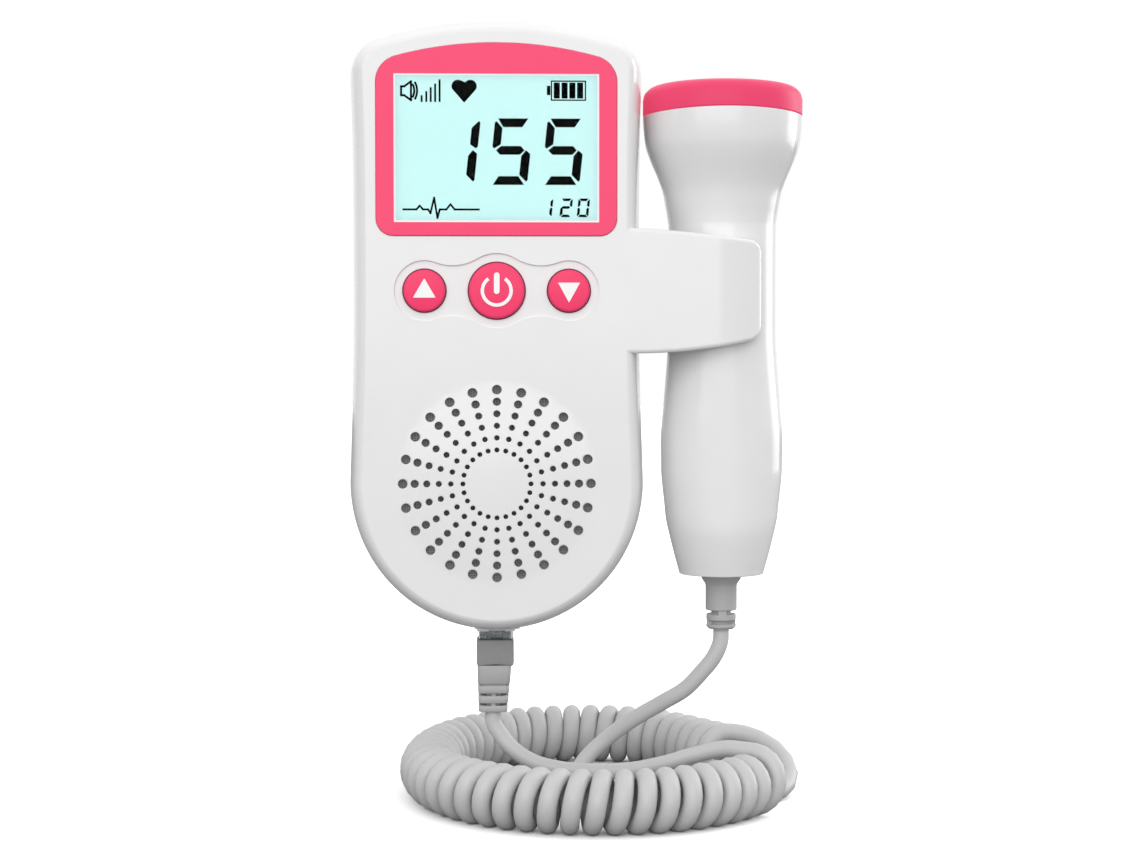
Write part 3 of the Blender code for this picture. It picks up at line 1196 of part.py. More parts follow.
def moving_pieces():
    """Each joint's name, a point on its axis, and the pieces that move on it."""
    latch_middle = PLUG_DEPTH / 2 + GAP + LATCH_THICKNESS / 2
    joints = [(f"{name}_slide", (x, 0.0, KEY_Z), (f"{name}_key", f"{name}_switch_plunger"))
              for name, x, radius in key_places()]
    joints.append(("door_hinge", (0.0, 0.0, DOOR_TOP), ("battery_door",)))
    joints.append(("latch_hinge", (0.0, PARTING_Y - latch_middle, PLUG_NOSE - LATCH_FROM_NOSE),
                   ("plug_latch",)))
    joints.append(("probe_slide", (PROBE_X, PARTING_Y, PROBE_FOOT_Z), PROBE_PIECES))
    return joints


def hang_on_axes():
    """Stand an empty on each joint's axis and hang the moving pieces from it."""
    for name, place, pieces in moving_pieces():
        axis = bpy.data.objects.new(name, None)
        axis.location = place
        bpy.context.scene.collection.objects.link(axis)
        for piece in pieces:
            moving = bpy.data.objects[piece]
            moving.parent = axis
            moving.matrix_parent_inverse = Matrix.Translation(place).inverted()


clear_scene()
make_front_shell()
make_rear_shell()
make_screen()
make_board()
for key in key_places():
    make_key(*key)
make_speaker()
make_case_screws()
make_batteries()
make_door()
make_jack()
make_plug()
make_boot()
make_probe_shells()
make_cap()
make_probe_inside()
make_strain_relief()
make_cord()
hang_on_axes()
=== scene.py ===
# %% [markdown]
# # A hand-held fetal doppler
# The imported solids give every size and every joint. This script dresses them: it
# rebuilds the pieces that the eye meets with rounder edges, draws what the display
# shows, and gives each piece, seen or hidden, the finish of its real material.
# Shapes are written in millimetres and turned to metres when they become a mesh.
# %% Load the solids
import math

import bmesh
import bpy
import numpy
from mathutils import Matrix, Vector


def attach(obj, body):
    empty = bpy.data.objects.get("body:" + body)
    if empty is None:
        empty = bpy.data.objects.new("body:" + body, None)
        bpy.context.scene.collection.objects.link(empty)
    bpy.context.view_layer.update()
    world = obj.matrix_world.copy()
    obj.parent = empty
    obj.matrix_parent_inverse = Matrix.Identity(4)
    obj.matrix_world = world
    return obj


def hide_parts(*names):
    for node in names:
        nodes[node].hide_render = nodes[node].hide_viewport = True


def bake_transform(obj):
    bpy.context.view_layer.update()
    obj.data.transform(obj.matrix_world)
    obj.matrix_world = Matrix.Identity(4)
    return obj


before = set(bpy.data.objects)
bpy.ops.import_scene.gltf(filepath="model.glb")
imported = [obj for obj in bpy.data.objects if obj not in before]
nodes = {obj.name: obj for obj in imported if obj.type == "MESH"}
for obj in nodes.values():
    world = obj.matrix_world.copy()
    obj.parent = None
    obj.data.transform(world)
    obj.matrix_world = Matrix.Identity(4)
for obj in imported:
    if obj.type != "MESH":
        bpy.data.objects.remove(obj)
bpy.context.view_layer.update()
MM = 0.001
BODY = "doppler_body"

# %% [markdown]
# The camera comes first, because everything that follows was matched to the
# photograph through it. It stands level in front of the case and looks a little
# down, with a moderate long lens, so that the coil is seen from slightly above.
# %% Camera
camera_data = bpy.data.cameras.new("camera")
camera_data.lens = 69.6
camera_data.sensor_width = 36.0
camera = bpy.data.objects.new("camera", camera_data)
camera.location = (0.0, -0.508, -0.0378)
AIM = Vector((0.0163, -0.017, -0.0569))
camera.rotation_euler = (AIM - camera.location).to_track_quat("-Z", "Y").to_euler()
bpy.context.scene.collection.objects.link(camera)
bpy.context.scene.camera = camera
print("camera looks down by", round(math.degrees(math.pi / 2 - camera.rotation_euler.x), 2), "degrees")

# %% [markdown]
# Every material is a small node tree. One function adds a node with its settings
# and its links, and one turns a hex colour, as a paint program shows it, into the
# linear values that light works with.
# %% Node helpers
def linear(code):
    """A hex colour as linear red, green, blue and alpha."""
    values = [int(code[i:i + 2], 16) / 255 for i in (1, 3, 5)]
    return [v / 12.92 if v <= 0.04045 else ((v + 0.055) / 1.055) ** 2.4 for v in values] + [1.0]


def add(tree, kind, settings=None, links=None):
    """Add a node; settings are its properties or inputs, links its inputs' sources."""
    new = tree.nodes.new(kind)
    for key, value in (settings or {}).items():
        if isinstance(key, str) and hasattr(new, key):
            setattr(new, key, value)
        else:
            new.inputs[key].default_value = value
    for key, source in (links or {}).items():
        tree.links.new(source, new.inputs[key])
    return new


def bare(name, colour, roughness, ior=1.46, metallic=0.0):
    """A material with its tree, its shader and the piece's own coordinates."""
    material = bpy.data.materials.new(name)
    material.use_nodes = True
    tree = material.node_tree
    shader = tree.nodes["Principled BSDF"]
    shader.inputs["Base Color"].default_value = linear(colour)
    shader.inputs["Roughness"].default_value = roughness
    shader.inputs["IOR"].default_value = ior
    shader.inputs["Metallic"].default_value = metallic
    place = add(tree, "ShaderNodeTexCoord").outputs["Object"]
    return material, tree, shader, place


def per_mm(size):
    """The scale of a pattern whose cells are that many millimetres wide."""
    return 1 / (size * MM)


def noise(tree, place, size, detail=3.0):
    """A mottled pattern whose spots are that many millimetres wide."""
    spots = add(tree, "ShaderNodeTexNoise", {"Scale": per_mm(size), "Detail": detail}, {"Vector": place})
    return spots.outputs["Fac"]


def toned(tree, target, light, dark, share):
    """Feed an input with a colour between two, by a pattern."""
    tone = add(tree, "ShaderNodeMix", {"data_type": "RGBA", 6: light, 7: dark}, {0: share})
    tree.links.new(tone.outputs[2], target)


def glossed(tree, shader, share, low, high):
    """Vary the roughness between two levels, by a pattern."""
    gloss = add(tree, "ShaderNodeMapRange", {"To Min": low, "To Max": high}, {"Value": share})
    tree.links.new(gloss.outputs["Result"], shader.inputs["Roughness"])


def bumped(tree, shader, height, strength, depth):
    """Raise the surface by a pattern, that many millimetres at most."""
    bump = add(tree, "ShaderNodeBump", {"Strength": strength, "Distance": depth * MM}, {"Height": height})
    tree.links.new(bump.outputs["Normal"], shader.inputs["Normal"])

# %% [markdown]
# Most of the object is moulded plastic: glossy white ABS for the case and the probe,
# pink ABS for keys and cap, soft grey PVC for cord and reliefs. A mould leaves three
# things to see: a faint mottling of the colour, a gloss that varies a little, and a
# fine orange peel. One function gives all three, at sizes taken from such parts.
# %% Moulded plastics
def moulded(name, light, dark, roughness, ior=1.54, mottle=9.0, peel=0.5, depth=0.002):
    """Moulded plastic; mottle and peel are the widths of the patterns in millimetres."""
    material, tree, shader, place = bare(name, light, roughness, ior)
    fine = noise(tree, place, peel, 2.0)
    toned(tree, shader.inputs["Base Color"], linear(light), linear(dark), noise(tree, place, mottle))
    glossed(tree, shader, fine, roughness * 0.8, roughness * 1.2)
    bumped(tree, shader, fine, 0.5, depth)
    return material


def painted_glow(material, colour, strength):
    """Add a faint and even glow: painted light that flattens the shading of the surface."""
    inputs = material.node_tree.nodes["Principled BSDF"].inputs
    inputs["Emission Color"].default_value = linear(colour)
    inputs["Emission Strength"].default_value = strength
    return material


WHITE_ABS = moulded("glossy_white_abs", "#EFEFEF", "#EAEAEA", 0.16)
PINK_ABS = moulded("satin_pink_abs", "#FF4173", "#FA3A6C", 0.35, 1.36)
# The probe's head: a darker pink base with an even glow of its pink, which is painted light.
PINK_CAP_PAINTED_GLOW = painted_glow(moulded("satin_pink_cap_abs_painted_glow", "#AE3152", "#A82E4E", 0.4, 1.25), "#F04A72", 0.52)
GREY_PVC = moulded("soft_grey_pvc_jacket", "#CCCCCC", "#C3C3C3", 0.42, 1.53, 6.0, 0.3, 0.006)
RELIEF_TPE = moulded("grey_tpe_relief", "#B8B8B8", "#B0B0B0", 0.5, 1.5, 4.0, 0.25, 0.006)
SLEEVE_TPE = moulded("dark_grey_plug_sleeve", "#9C9C9C", "#949494", 0.48, 1.5, 4.0, 0.25, 0.006)
# Dark grey for the cord's end inside the plug, partly its own colour and partly painted shade, and for the
# block behind the boot's slots, which is painted shade.
DARK_CORE_AND_PAINTED_SHADE = moulded("dark_grey_core_and_painted_shade", "#6C6E6E", "#626464", 0.5, 1.5, 4.0, 0.25, 0.006)
# Dark plum for the skirts round the keys: painted shade in the gaps.
PLUM_GAP_PAINTED_SHADE = moulded("plum_key_gap_painted_shade", "#8A3659", "#7C3050", 0.6, 1.41, 3.0, 0.3, 0.004)
BLACK_NYLON = moulded("black_glass_filled_nylon", "#161616", "#1E1E1E", 0.5, 1.53, 3.0, 0.25, 0.01)
WHITE_POLYCARBONATE = moulded("white_diffusing_polycarbonate", "#F1F1F1", "#E6E6E6", 0.35, 1.58)
EPOXY = moulded("black_moulding_epoxy", "#18181A", "#222225", 0.55, 1.55, 1.5, 0.12, 0.008)
FOAM = moulded("black_closed_cell_foam", "#303030", "#3C3C3C", 0.9, 1.4, 1.2, 0.4, 0.12)
PAPER = moulded("pressed_paper_cone", "#6A6A6A", "#5C5C5C", 0.85, 1.4, 2.0, 0.25, 0.04)
CERAMIC = moulded("fired_piezo_ceramic", "#DDD3BA", "#CFC4A8", 0.55, 1.6, 1.2, 0.12, 0.01)
PINK_PRINT = moulded("pink_back_printed_acrylic", "#FF587F", "#FF557C", 0.3, 1.2, 12.0, 1.2, 0.0005)
DISPLAY_INK = moulded("dark_liquid_crystal", "#020303", "#090A0B", 0.8, 1.05, 20.0, 0.4, 0.0005)
WHITE_INK = moulded("white_pad_printed_ink", "#FFFFFF", "#FAFAFA", 0.4, 1.5, 3.0, 0.2, 0.002)
BATTERY_SLEEVE = moulded("printed_pvc_battery_sleeve", "#2E7A52", "#296F4A", 0.25, 1.53, 5.0, 0.6, 0.001)
print(len(bpy.data.materials), "moulded and printed finishes")

# %% [markdown]
# The other finishes differ in more than colour. Metals are drawn or rolled, so
# their grain runs one way; the circuit boards carry copper lines under a green
# varnish; the cloth behind the grille is woven; the display lights itself.
# %% Metals, boards, cloth and clear parts
def drawn_metal(name, colour, roughness, along, grain=0.15):
    """Metal whose fine grain runs along one axis."""
    material, tree, shader, place = bare(name, colour, roughness, 1.5, 1.0)
    stretch = add(tree, "ShaderNodeMapping", {"Scale": [0.04 if axis == along else 1.0 for axis in "XYZ"]},
                  {"Vector": place})
    grains = noise(tree, stretch.outputs["Vector"], grain)
    glossed(tree, shader, grains, roughness * 0.7, roughness * 1.4)
    bumped(tree, shader, grains, 0.4, 0.003)
    return material


def varnished_board(name):
    """Glass-fibre board: copper lines show paler through the green varnish."""
    material, tree, shader, place = bare(name, "#1C6A38", 0.3, 1.5)
    turned_up = add(tree, "ShaderNodeMapping", {"Rotation": (math.pi / 2, 0.0, 0.0)}, {"Vector": place})
    lines = add(tree, "ShaderNodeTexBrick", {"Scale": per_mm(1.0), "Mortar Size": 0.16,
                                             "Brick Width": 3.2, "Row Height": 0.8,
                                             "Color1": linear("#14532B"), "Color2": linear("#175A30"),
                                             "Mortar": linear("#2B8A4C")},
                {"Vector": turned_up.outputs["Vector"]})
    tree.links.new(lines.outputs["Color"], shader.inputs["Base Color"])
    bumped(tree, shader, lines.outputs["Fac"], 0.5, 0.03)
    return material


def woven_cloth(name, light, dark, thread):
    """Plain-woven mesh; thread is the distance between threads in millimetres."""
    material, tree, shader, place = bare(name, light, 0.85, 1.45)
    waves = [add(tree, "ShaderNodeTexWave", {"bands_direction": way, "Scale": per_mm(thread) / 6.283},
                 {"Vector": place}) for way in "XZ"]
    weave = add(tree, "ShaderNodeMath", {"operation": "MAXIMUM"},
                {0: waves[0].outputs["Fac"], 1: waves[1].outputs["Fac"]}).outputs["Value"]
    toned(tree, shader.inputs["Base Color"], linear(dark), linear(light), weave)
    bumped(tree, shader, weave, 0.6, 0.05)
    return material


def clear_moulding(name, colour, roughness, ior):
    """Clear plastic with faint flow lines."""
    material, tree, shader, place = bare(name, colour, roughness, ior)
    shader.inputs["Transmission Weight"].default_value = 1.0
    bumped(tree, shader, noise(tree, place, 6.0, 1.0), 0.15, 0.002)
    return material


def lit_display(name):
    """The display's rear film: pale cyan, lit evenly from behind, with a faint haze."""
    material, tree, shader, place = bare(name, "#66807D", 0.6, 1.2)
    haze = noise(tree, place, 16.0, 1.0)
    toned(tree, shader.inputs["Emission Color"], linear("#CCFBFA"), linear("#D2FEFD"), haze)
    shader.inputs["Emission Strength"].default_value = 0.67
    return material


SPRING_STEEL = drawn_metal("nickel_plated_spring_steel", "#C9C6BF", 0.28, "X")
SCREW_STEEL = drawn_metal("zinc_plated_screw_steel", "#BFC2C4", 0.32, "Y")
MAGNET_STEEL = drawn_metal("zinc_plated_magnet_pot", "#B9BCBE", 0.38, "X", 0.3)
GOLD_CONTACT = drawn_metal("gold_plated_bronze", "#E2B65C", 0.25, "Z")
BATTERY_TIP = drawn_metal("nickel_plated_battery_tip", "#CFCDC8", 0.22, "Z")
GREEN_BOARD = varnished_board("varnished_glass_fibre_board")
DUST_CLOTH = woven_cloth("woven_polyester_dust_cloth", "#9A9A9A", "#6E6E6E", 0.28)
ZEBRA = woven_cloth("zebra_elastomer_strip", "#D48AA0", "#2A2426", 0.18)
CLEAR_WINDOW = clear_moulding("coated_acrylic_window", "#FFFFFF", 0.02, 1.06)
CLEAR_PLUG = clear_moulding("clear_polycarbonate_plug", "#D5DADB", 0.08, 1.58)
DISPLAY_FILM = lit_display("lit_display_film")
print(len(bpy.data.materials), "finishes")

# %% [markdown]
# New pieces are modelled with bmesh operators. A few small shapes do most of the
# work: a loft extrudes one face through a list of outlines, a turned piece spins a
# profile, a prism extrudes an outline towards the front, and a stepped shape lets its
# outline grow on the way. Depth is counted from the case's flat back towards the
# viewer, so the front face is 34 mm deep.
# %% Shapes in millimetres
def loft(rings):
    """A closed solid through rings of as many points each."""
    bm = bmesh.new()
    face = bm.faces.new([bm.verts.new(point) for point in rings[0]])
    for index, ring in enumerate(rings[1:]):
        grown = bmesh.ops.extrude_face_region(bm, geom=[face])["geom"]
        if index:
            bmesh.ops.delete(bm, geom=[face], context="FACES_ONLY")
        face = next(item for item in grown if isinstance(item, bmesh.types.BMFace))
        for vert, point in zip(face.verts, ring):
            vert.co = point
    return bm


def turned(profile, steps, place, to_front=False):
    """Spin a profile of radius and height; its axis runs up, or towards the front."""
    bm = bmesh.new()
    verts = [bm.verts.new((radius, 0.0, height)) for radius, height in profile]
    edges = [bm.edges.new(pair) for pair in zip(verts, verts[1:])]
    if profile[0][0] > 0 and profile[-1][0] > 0:
        edges.append(bm.edges.new((verts[-1], verts[0])))
    bmesh.ops.spin(bm, geom=verts + edges, cent=(0, 0, 0), axis=(0, 0, 1), angle=math.tau,
                   steps=steps, use_merge=True)
    bmesh.ops.remove_doubles(bm, verts=bm.verts, dist=1e-4)
    if to_front:
        bmesh.ops.rotate(bm, verts=bm.verts, cent=(0, 0, 0), matrix=Matrix.Rotation(math.pi / 2, 3, "X"))
    bmesh.ops.translate(bm, verts=bm.verts, vec=place)
    return bm


def rod(radius, start, end, steps, place, to_front=False):
    """A round bar."""
    return turned(((0.0, start), (radius, start), (radius, end), (0.0, end)), steps, place, to_front)


def slab(half_x, back, front, bottom, top, middle_x=0.0):
    """A block between two depths and two heights."""
    bm = bmesh.new()
    bmesh.ops.create_cube(bm, size=1.0)
    bmesh.ops.scale(bm, verts=bm.verts, vec=(2 * half_x, front - back, top - bottom))
    bmesh.ops.translate(bm, verts=bm.verts, vec=(middle_x, -(front + back) / 2, (top + bottom) / 2))
    return bm


def stepped(outline_at, steps):
    """The outline for each growth at its depth, from the first to the last, as one solid."""
    return loft([[(x, -depth, z) for x, z in outline_at(grow)] for depth, grow in steps])


def prism(outline, back, front):
    """An outline of x and z between two depths."""
    return stepped(lambda grow: outline, ((back, 0.0), (front, 0.0)))


def across(side, left, right):
    """A side view, of depth and height, drawn out from one x to another."""
    return loft([[(x, -depth, z) for depth, z in side] for x in (left, right)])


def oblong(left, right, bottom, top):
    """The outline of a rectangle."""
    return [(right, top), (right, bottom), (left, bottom), (left, top)]


def arc(centre_x, centre_z, radius, start, end, steps):
    """Points of an arc; angles run clockwise from straight up."""
    angles = [start + (end - start) * step / steps for step in range(steps + 1)]
    return [(centre_x + radius * math.sin(a), centre_z + radius * math.cos(a)) for a in angles]


def mirrored(half):
    """Close a right half, listed from top to bottom, with its mirror image."""
    return half + [(-x, z) for x, z in reversed(half) if x > 0.01]


def gathered(shapes):
    """Several shapes in one mesh."""
    whole = bmesh.new()
    for shape in shapes:
        bmesh.ops.recalc_face_normals(shape, faces=shape.faces)
        mesh = bpy.data.meshes.new("shape")
        shape.to_mesh(mesh)
        shape.free()
        whole.from_mesh(mesh)
        bpy.data.meshes.remove(mesh)
    return whole


def rounded(bm, width, segments=3, least=40.0, chosen=None):
    """Bevel the edges at which two faces meet at more than an angle; `chosen` picks among them."""
    bmesh.ops.recalc_face_normals(bm, faces=bm.faces)
    edges = [edge for edge in bm.edges if edge.is_manifold
             and edge.calc_face_angle(0.0) > math.radians(least) and (chosen is None or chosen(edge))]
    bmesh.ops.bevel(bm, geom=edges, offset=width, offset_type="OFFSET", segments=segments, profile=0.5,
                    affect="EDGES", clamp_overlap=True, material=-1)
    return bm


def goes_back(edge):
    """Chooses the edges that run towards the case's back."""
    return abs(edge.verts[0].co.y - edge.verts[1].co.y) > 0.1


def at_depth(depth):
    """Chooses the edges that lie in one plane, counted from the case's back."""
    return lambda edge: all(abs(vert.co.y + depth) < 1e-3 for vert in edge.verts)


def through(points, steps):
    """A smooth curve through points of any kind, with so many steps from each to the next."""
    spots = [Vector(point) for point in points]
    ends = [spots[0] * 2 - spots[1]] + spots + [spots[-1] * 2 - spots[-2]]
    fine = []
    for a, b, c, d in zip(ends, ends[1:], ends[2:], ends[3:]):
        for t in [step / steps for step in range(steps)]:
            fine.append((b * 2 + (c - a) * t + (a * 2 - b * 5 + c * 4 - d) * t * t
                         + (b * 3 - a - c * 3 + d) * t ** 3) / 2)
    return fine + [spots[-1]]

# %% [markdown]
# A finished shape becomes a piece: its doubles are merged, its faces point outwards,
# it is scaled to metres, shaded smooth where it bends gently, and rides on a body of
# the model. Where it stands for a solid, that solid is hidden. `join` adds a shape to
# a piece, `cut` takes one away, and only the result stays in the scene.
# %% From shape to piece
def mesh_of(bm, name):
    """A mesh in metres from a bmesh in millimetres."""
    bmesh.ops.remove_doubles(bm, verts=bm.verts, dist=1e-4)
    bmesh.ops.recalc_face_normals(bm, faces=bm.faces)
    bmesh.ops.scale(bm, verts=bm.verts, vec=(MM, MM, MM))
    mesh = bpy.data.meshes.new(name)
    bm.to_mesh(mesh)
    bm.free()
    return mesh


def shade(piece, angle):
    """Smooth shading, with sharp edges where two faces meet at more than an angle."""
    piece.data.shade_smooth()
    piece.data.set_sharp_from_angle(angle=math.radians(angle))


def add_piece(name, bm, material, body=BODY, replaces=(), angle=38):
    """A piece of the scene that rides on a body and may stand for solids."""
    piece = bpy.data.objects.new(name, mesh_of(bm, name))
    bpy.context.scene.collection.objects.link(piece)
    piece.data.materials.append(material)
    shade(piece, angle)
    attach(piece, body)
    if replaces:
        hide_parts(*replaces)
    print(name, len(piece.data.polygons), "faces")
    return piece


def carve(piece, bm, operation, angle):
    """Combine a piece with a shape and keep only the result."""
    tool = bpy.data.objects.new("tool", mesh_of(bm, "tool"))
    bpy.context.scene.collection.objects.link(tool)
    modifier = piece.modifiers.new("carve", "BOOLEAN")
    modifier.operation = operation
    modifier.object = tool
    modifier.solver = "EXACT"
    result = bpy.data.meshes.new_from_object(piece.evaluated_get(bpy.context.evaluated_depsgraph_get()))
    piece.modifiers.clear()
    spent = piece.data
    piece.data = result
    bpy.data.meshes.remove(spent)
    bpy.data.objects.remove(tool)
    result.name = piece.name
    shade(piece, angle)


def join(piece, *shapes, angle=38):
    """Add shapes to a piece, one after another."""
    for bm in shapes:
        carve(piece, bm, "UNION", angle)


def cut(piece, *shapes, angle=38):
    """Take shapes away from a piece, one after another."""
    for bm in shapes:
        carve(piece, bm, "DIFFERENCE", angle)


def even_shading(piece):
    """Let large flat faces keep their own direction where they meet a rounded edge."""
    modifier = piece.modifiers.new("even shading", "WEIGHTED_NORMAL")
    modifier.keep_sharp = True
    modifier.weight = 100

# %% [markdown]
# The cord is one limp PVC lead, 3.6 mm thick and about 1.5 m long. Most of its length
# is wound into small curls that lie as a ring on the table. It is drawn as the real
# one is made: a straight lead, curls of one size, and a straight lead again. The
# route runs through listed points and the curls follow from a formula. The ring
# isn't quite round: a table of its angles says how far along it each one lies.
# %% The cord's line
CORD = 3.6
CURLS = 45
CURL_RADIUS = 4.85
CURL_PITCH = 4.557
RING_CENTRE = (22.8, -17.0, -133.25)
RING_START = 29
RING_RADIUS = 37.6
RING_BACK = (math.radians(262), 6.5, 2)
RING_CORNER = (math.radians(318), -5.0, 8)
END_TURN = 0.5
FIRST_OPENS = 2.0
LAST_OPENS = 2.2
LAST_SWINGS = math.radians(36)
BOOT_END = -120.2
BOOT_X = -0.95
RELIEF_END = -102.0
PROBE_X = 50.2
PARTING = 17.0
MAIN_LEAD = ((0.9, -17.6, -125.8), (4.1, -18.6, -129.2), (8.2, -19.8, -131.5), (12.8, -21.0, -132.6),
             (17.9, -22.3, -133.0), (23.8, -23.7, -132.9), (30.5, -25.2, -132.2), (37.2, -26.8, -130.5),
             (43.5, -28.4, -128.4))
PROBE_LEAD = ((45.0, -23.2, -138.1), (36.5, -23.6, -138.1), (29.2, -23.0, -138.1), (23.3, -20.8, -138.1),
              (19.3, -17.2, -138.1), (17.5, -12.9, -137.9), (17.7, -9.0, -136.8), (19.2, -6.2, -134.7),
              (21.6, -4.9, -132.1), (24.7, -5.1, -129.3), (28.3, -6.8, -126.1), (32.6, -9.2, -122.8),
              (37.6, -12.0, -119.4), (42.3, -14.5, -116.1), (45.8, -16.0, -112.2), (48.8, -16.8, -108.2))


def ring_radius(around):
    """The ring goes out further at the back and is drawn in at one corner.

    Each of the two is given by its angle, how far it goes and how narrow it is.
    """
    return RING_RADIUS + sum(more * max(math.cos(around - middle), 0.0) ** power
                             for middle, more, power in (RING_BACK, RING_CORNER))


ANGLES = [math.radians(RING_START + tenth / 10) for tenth in range(3601)]
WALKED = numpy.cumsum([0.0] + [ring_radius((a + b) / 2) * (b - a) for a, b in zip(ANGLES, ANGLES[1:])])


def smooth(share):
    """A share from 0 to 1 that starts and ends gently."""
    return share * share * (3 - 2 * share)


def curl_point(turn):
    """The cord's centre after so many curls; the first and the last open out a little."""
    early = min(turn / END_TURN, 1.0)
    late = max(turn - CURLS, 0.0) / END_TURN
    radius = CURL_RADIUS + FIRST_OPENS * (1 - smooth(early)) + LAST_OPENS * math.sin(math.pi * late) ** 2
    around = numpy.interp(turn * CURL_PITCH, WALKED, ANGLES) + LAST_SWINGS * smooth(late)
    out = ring_radius(around) + radius * math.sin(math.tau * turn)
    return Vector((RING_CENTRE[0] + out * math.cos(around), RING_CENTRE[1] - out * math.sin(around),
                   RING_CENTRE[2] + radius * math.cos(math.tau * turn)))


def curls(per_turn):
    """The ring of curls, with a straight run of one diameter at each end."""
    last = CURLS + END_TURN
    count = round(last * per_turn)
    points = [curl_point(last * step / count) for step in range(count + 1)]
    inward = (curl_point(0.001) - curl_point(0.0)).normalized()
    onward = (curl_point(last) - curl_point(last - 0.001)).normalized()
    return [points[0] - inward * CORD] + points + [points[-1] + onward * CORD]


def led(start, start_way, middle, end, end_way, steps):
    """A smooth lead that sets out straight from both its ends."""
    spots = [start + start_way * CORD / 2] + [Vector(point) for point in middle] + [end + end_way * CORD / 2]
    before = spots[1] - start_way * 2 * (spots[1] - spots[0]).length
    after = spots[-2] - end_way * 2 * (spots[-2] - spots[-1]).length
    line = through([before] + spots + [after], steps)
    return [start] + line[steps:-steps] + [end]


def length_of(line):
    """The length of a line in metres."""
    return sum((b - a).length for a, b in zip(line, line[1:])) * MM


coil_line = curls(20)
run_in = (coil_line[0] - coil_line[1]).normalized()
run_out = (coil_line[-1] - coil_line[-2]).normalized()
DOWN = Vector((0.0, 0.0, -1.0))
main_line = led(Vector((BOOT_X, -PARTING, BOOT_END)), DOWN, MAIN_LEAD, coil_line[0], run_in, 6)
probe_line = led(coil_line[-1], run_out, PROBE_LEAD, Vector((PROBE_X, -PARTING, RELIEF_END)), DOWN, 6)
curly_line = main_line + coil_line[1:]
print("cord", round(length_of(curly_line), 3), "m and", round(length_of(probe_line), 3), "m")

# %% [markdown]
# A tube is a curve with a round bevel, turned into a mesh. The curls are drawn a
# little thicker than the leads, so that they touch inside the ring.
# %% The cord's pieces
CURL_SWELL = 0.145
SWELL_STEPS = 12


def tube(name, line, radius, sides, material, swell=None):
    """A round tube along a line, as a mesh in metres; swell is the share of its radius at each point."""
    curve = bpy.data.curves.new(name, "CURVE")
    curve.dimensions = "3D"
    curve.bevel_depth = radius * MM
    curve.bevel_resolution = sides // 2 - 2
    curve.use_fill_caps = True
    spline = curve.splines.new("POLY")
    spline.points.add(len(line) - 1)
    for target, point in zip(spline.points, line):
        target.co = (*[value * MM for value in point], 1.0)
    for target, share in zip(spline.points, swell or []):
        target.radius = share
    shaper = bpy.data.objects.new("shaper", curve)
    bpy.context.scene.collection.objects.link(shaper)
    mesh = bpy.data.meshes.new_from_object(shaper.evaluated_get(bpy.context.evaluated_depsgraph_get()))
    bpy.data.objects.remove(shaper)
    piece = bpy.data.objects.new(name, mesh)
    mesh.name = name
    bpy.context.scene.collection.objects.link(piece)
    mesh.materials.clear()
    mesh.materials.append(material)
    shade(piece, 60)
    return piece


swell = [1.0 + CURL_SWELL * min(max((step - len(main_line)) / SWELL_STEPS, 0.0),
                                (len(curly_line) - 1 - step) / SWELL_STEPS, 1.0)
         for step in range(len(curly_line))]
curly_cord = tube("curly_cord", curly_line, CORD / 2, 16, GREY_PVC, swell=swell)
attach(curly_cord, BODY)
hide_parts("cord_lead_main", "cord_coil")
probe_lead = tube("probe_lead", probe_line, CORD / 2, 16, GREY_PVC)
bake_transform(probe_lead)
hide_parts("cord_lead_probe")
print(len(curly_cord.data.polygons), "and", len(probe_lead.data.polygons), "faces in the cord")

# %% [markdown]
# The case is one outline, drawn in little by little towards its front and its back.
# The two halves meet half-way, where each has a fine bevel, so that the seam shows.
# %% Outlines of the case
TOP = 32.4
ARCH = 89.0
SHOULDER = 32.2
SHOULDER_CORNER = 8.6
WAIST = 31.7
HIP_Z = -69.0
HIP_RADIUS = 32.6
GRILLE_Z = -68.35
FRONT = 34.0
WALL = 2.2
INSIDE = FRONT - WALL
SEAM = 0.15
PAST = 1.5
FRONT_EDGE = 3.6
BACK_EDGE = 3.9
SCREEN_TOP = 26.05
SCREEN_ARCH = 82.4
SCREEN_HALF = 25.8
SCREEN_BOTTOM = -15.1
SCREEN_SEAT = 32.8
OPENING_HALF = 22.0
OPENING_LOW = -12.2
OPENING_TOP = 19.5
KEY_Z = -26.85
SIDE_KEY_X = 15.5
KEYS = (("power", 0.0, 5.95), ("volume_up", -SIDE_KEY_X, 4.47), ("volume_down", SIDE_KEY_X, 4.47))
MIDDLE_LOBE = 8.03
SIDE_LOBE = 6.5
HOLLOW = 10.4
CASE_SCREWS = ((-26.1, 18.0), (26.1, 18.0), (-13.1, -92.3), (13.1, -92.3))
FRONT_CROWN = ((0.0, 0.0), (0.35, 0.13), (0.65, 0.28), (0.84, 0.47), (0.95, 0.72), (1.0, 1.0))
REAR_CROWN = ((0.0, 0.0), (0.35, 0.09), (0.62, 0.21), (0.82, 0.42), (0.94, 0.7), (1.0, 1.0))


def arched(centre_z, arch, half_width, corner, steps):
    """The right half of an arched top with the rounded corner that ends it."""
    corner_x = half_width - corner
    corner_z = centre_z + math.sqrt((arch - corner) ** 2 - corner_x ** 2)
    lean = math.asin(corner_x / (arch - corner))
    top = arc(0.0, centre_z, arch, 0.0, lean, 20)[:-1]
    return top + arc(corner_x, corner_z, corner, lean, math.pi / 2, steps)


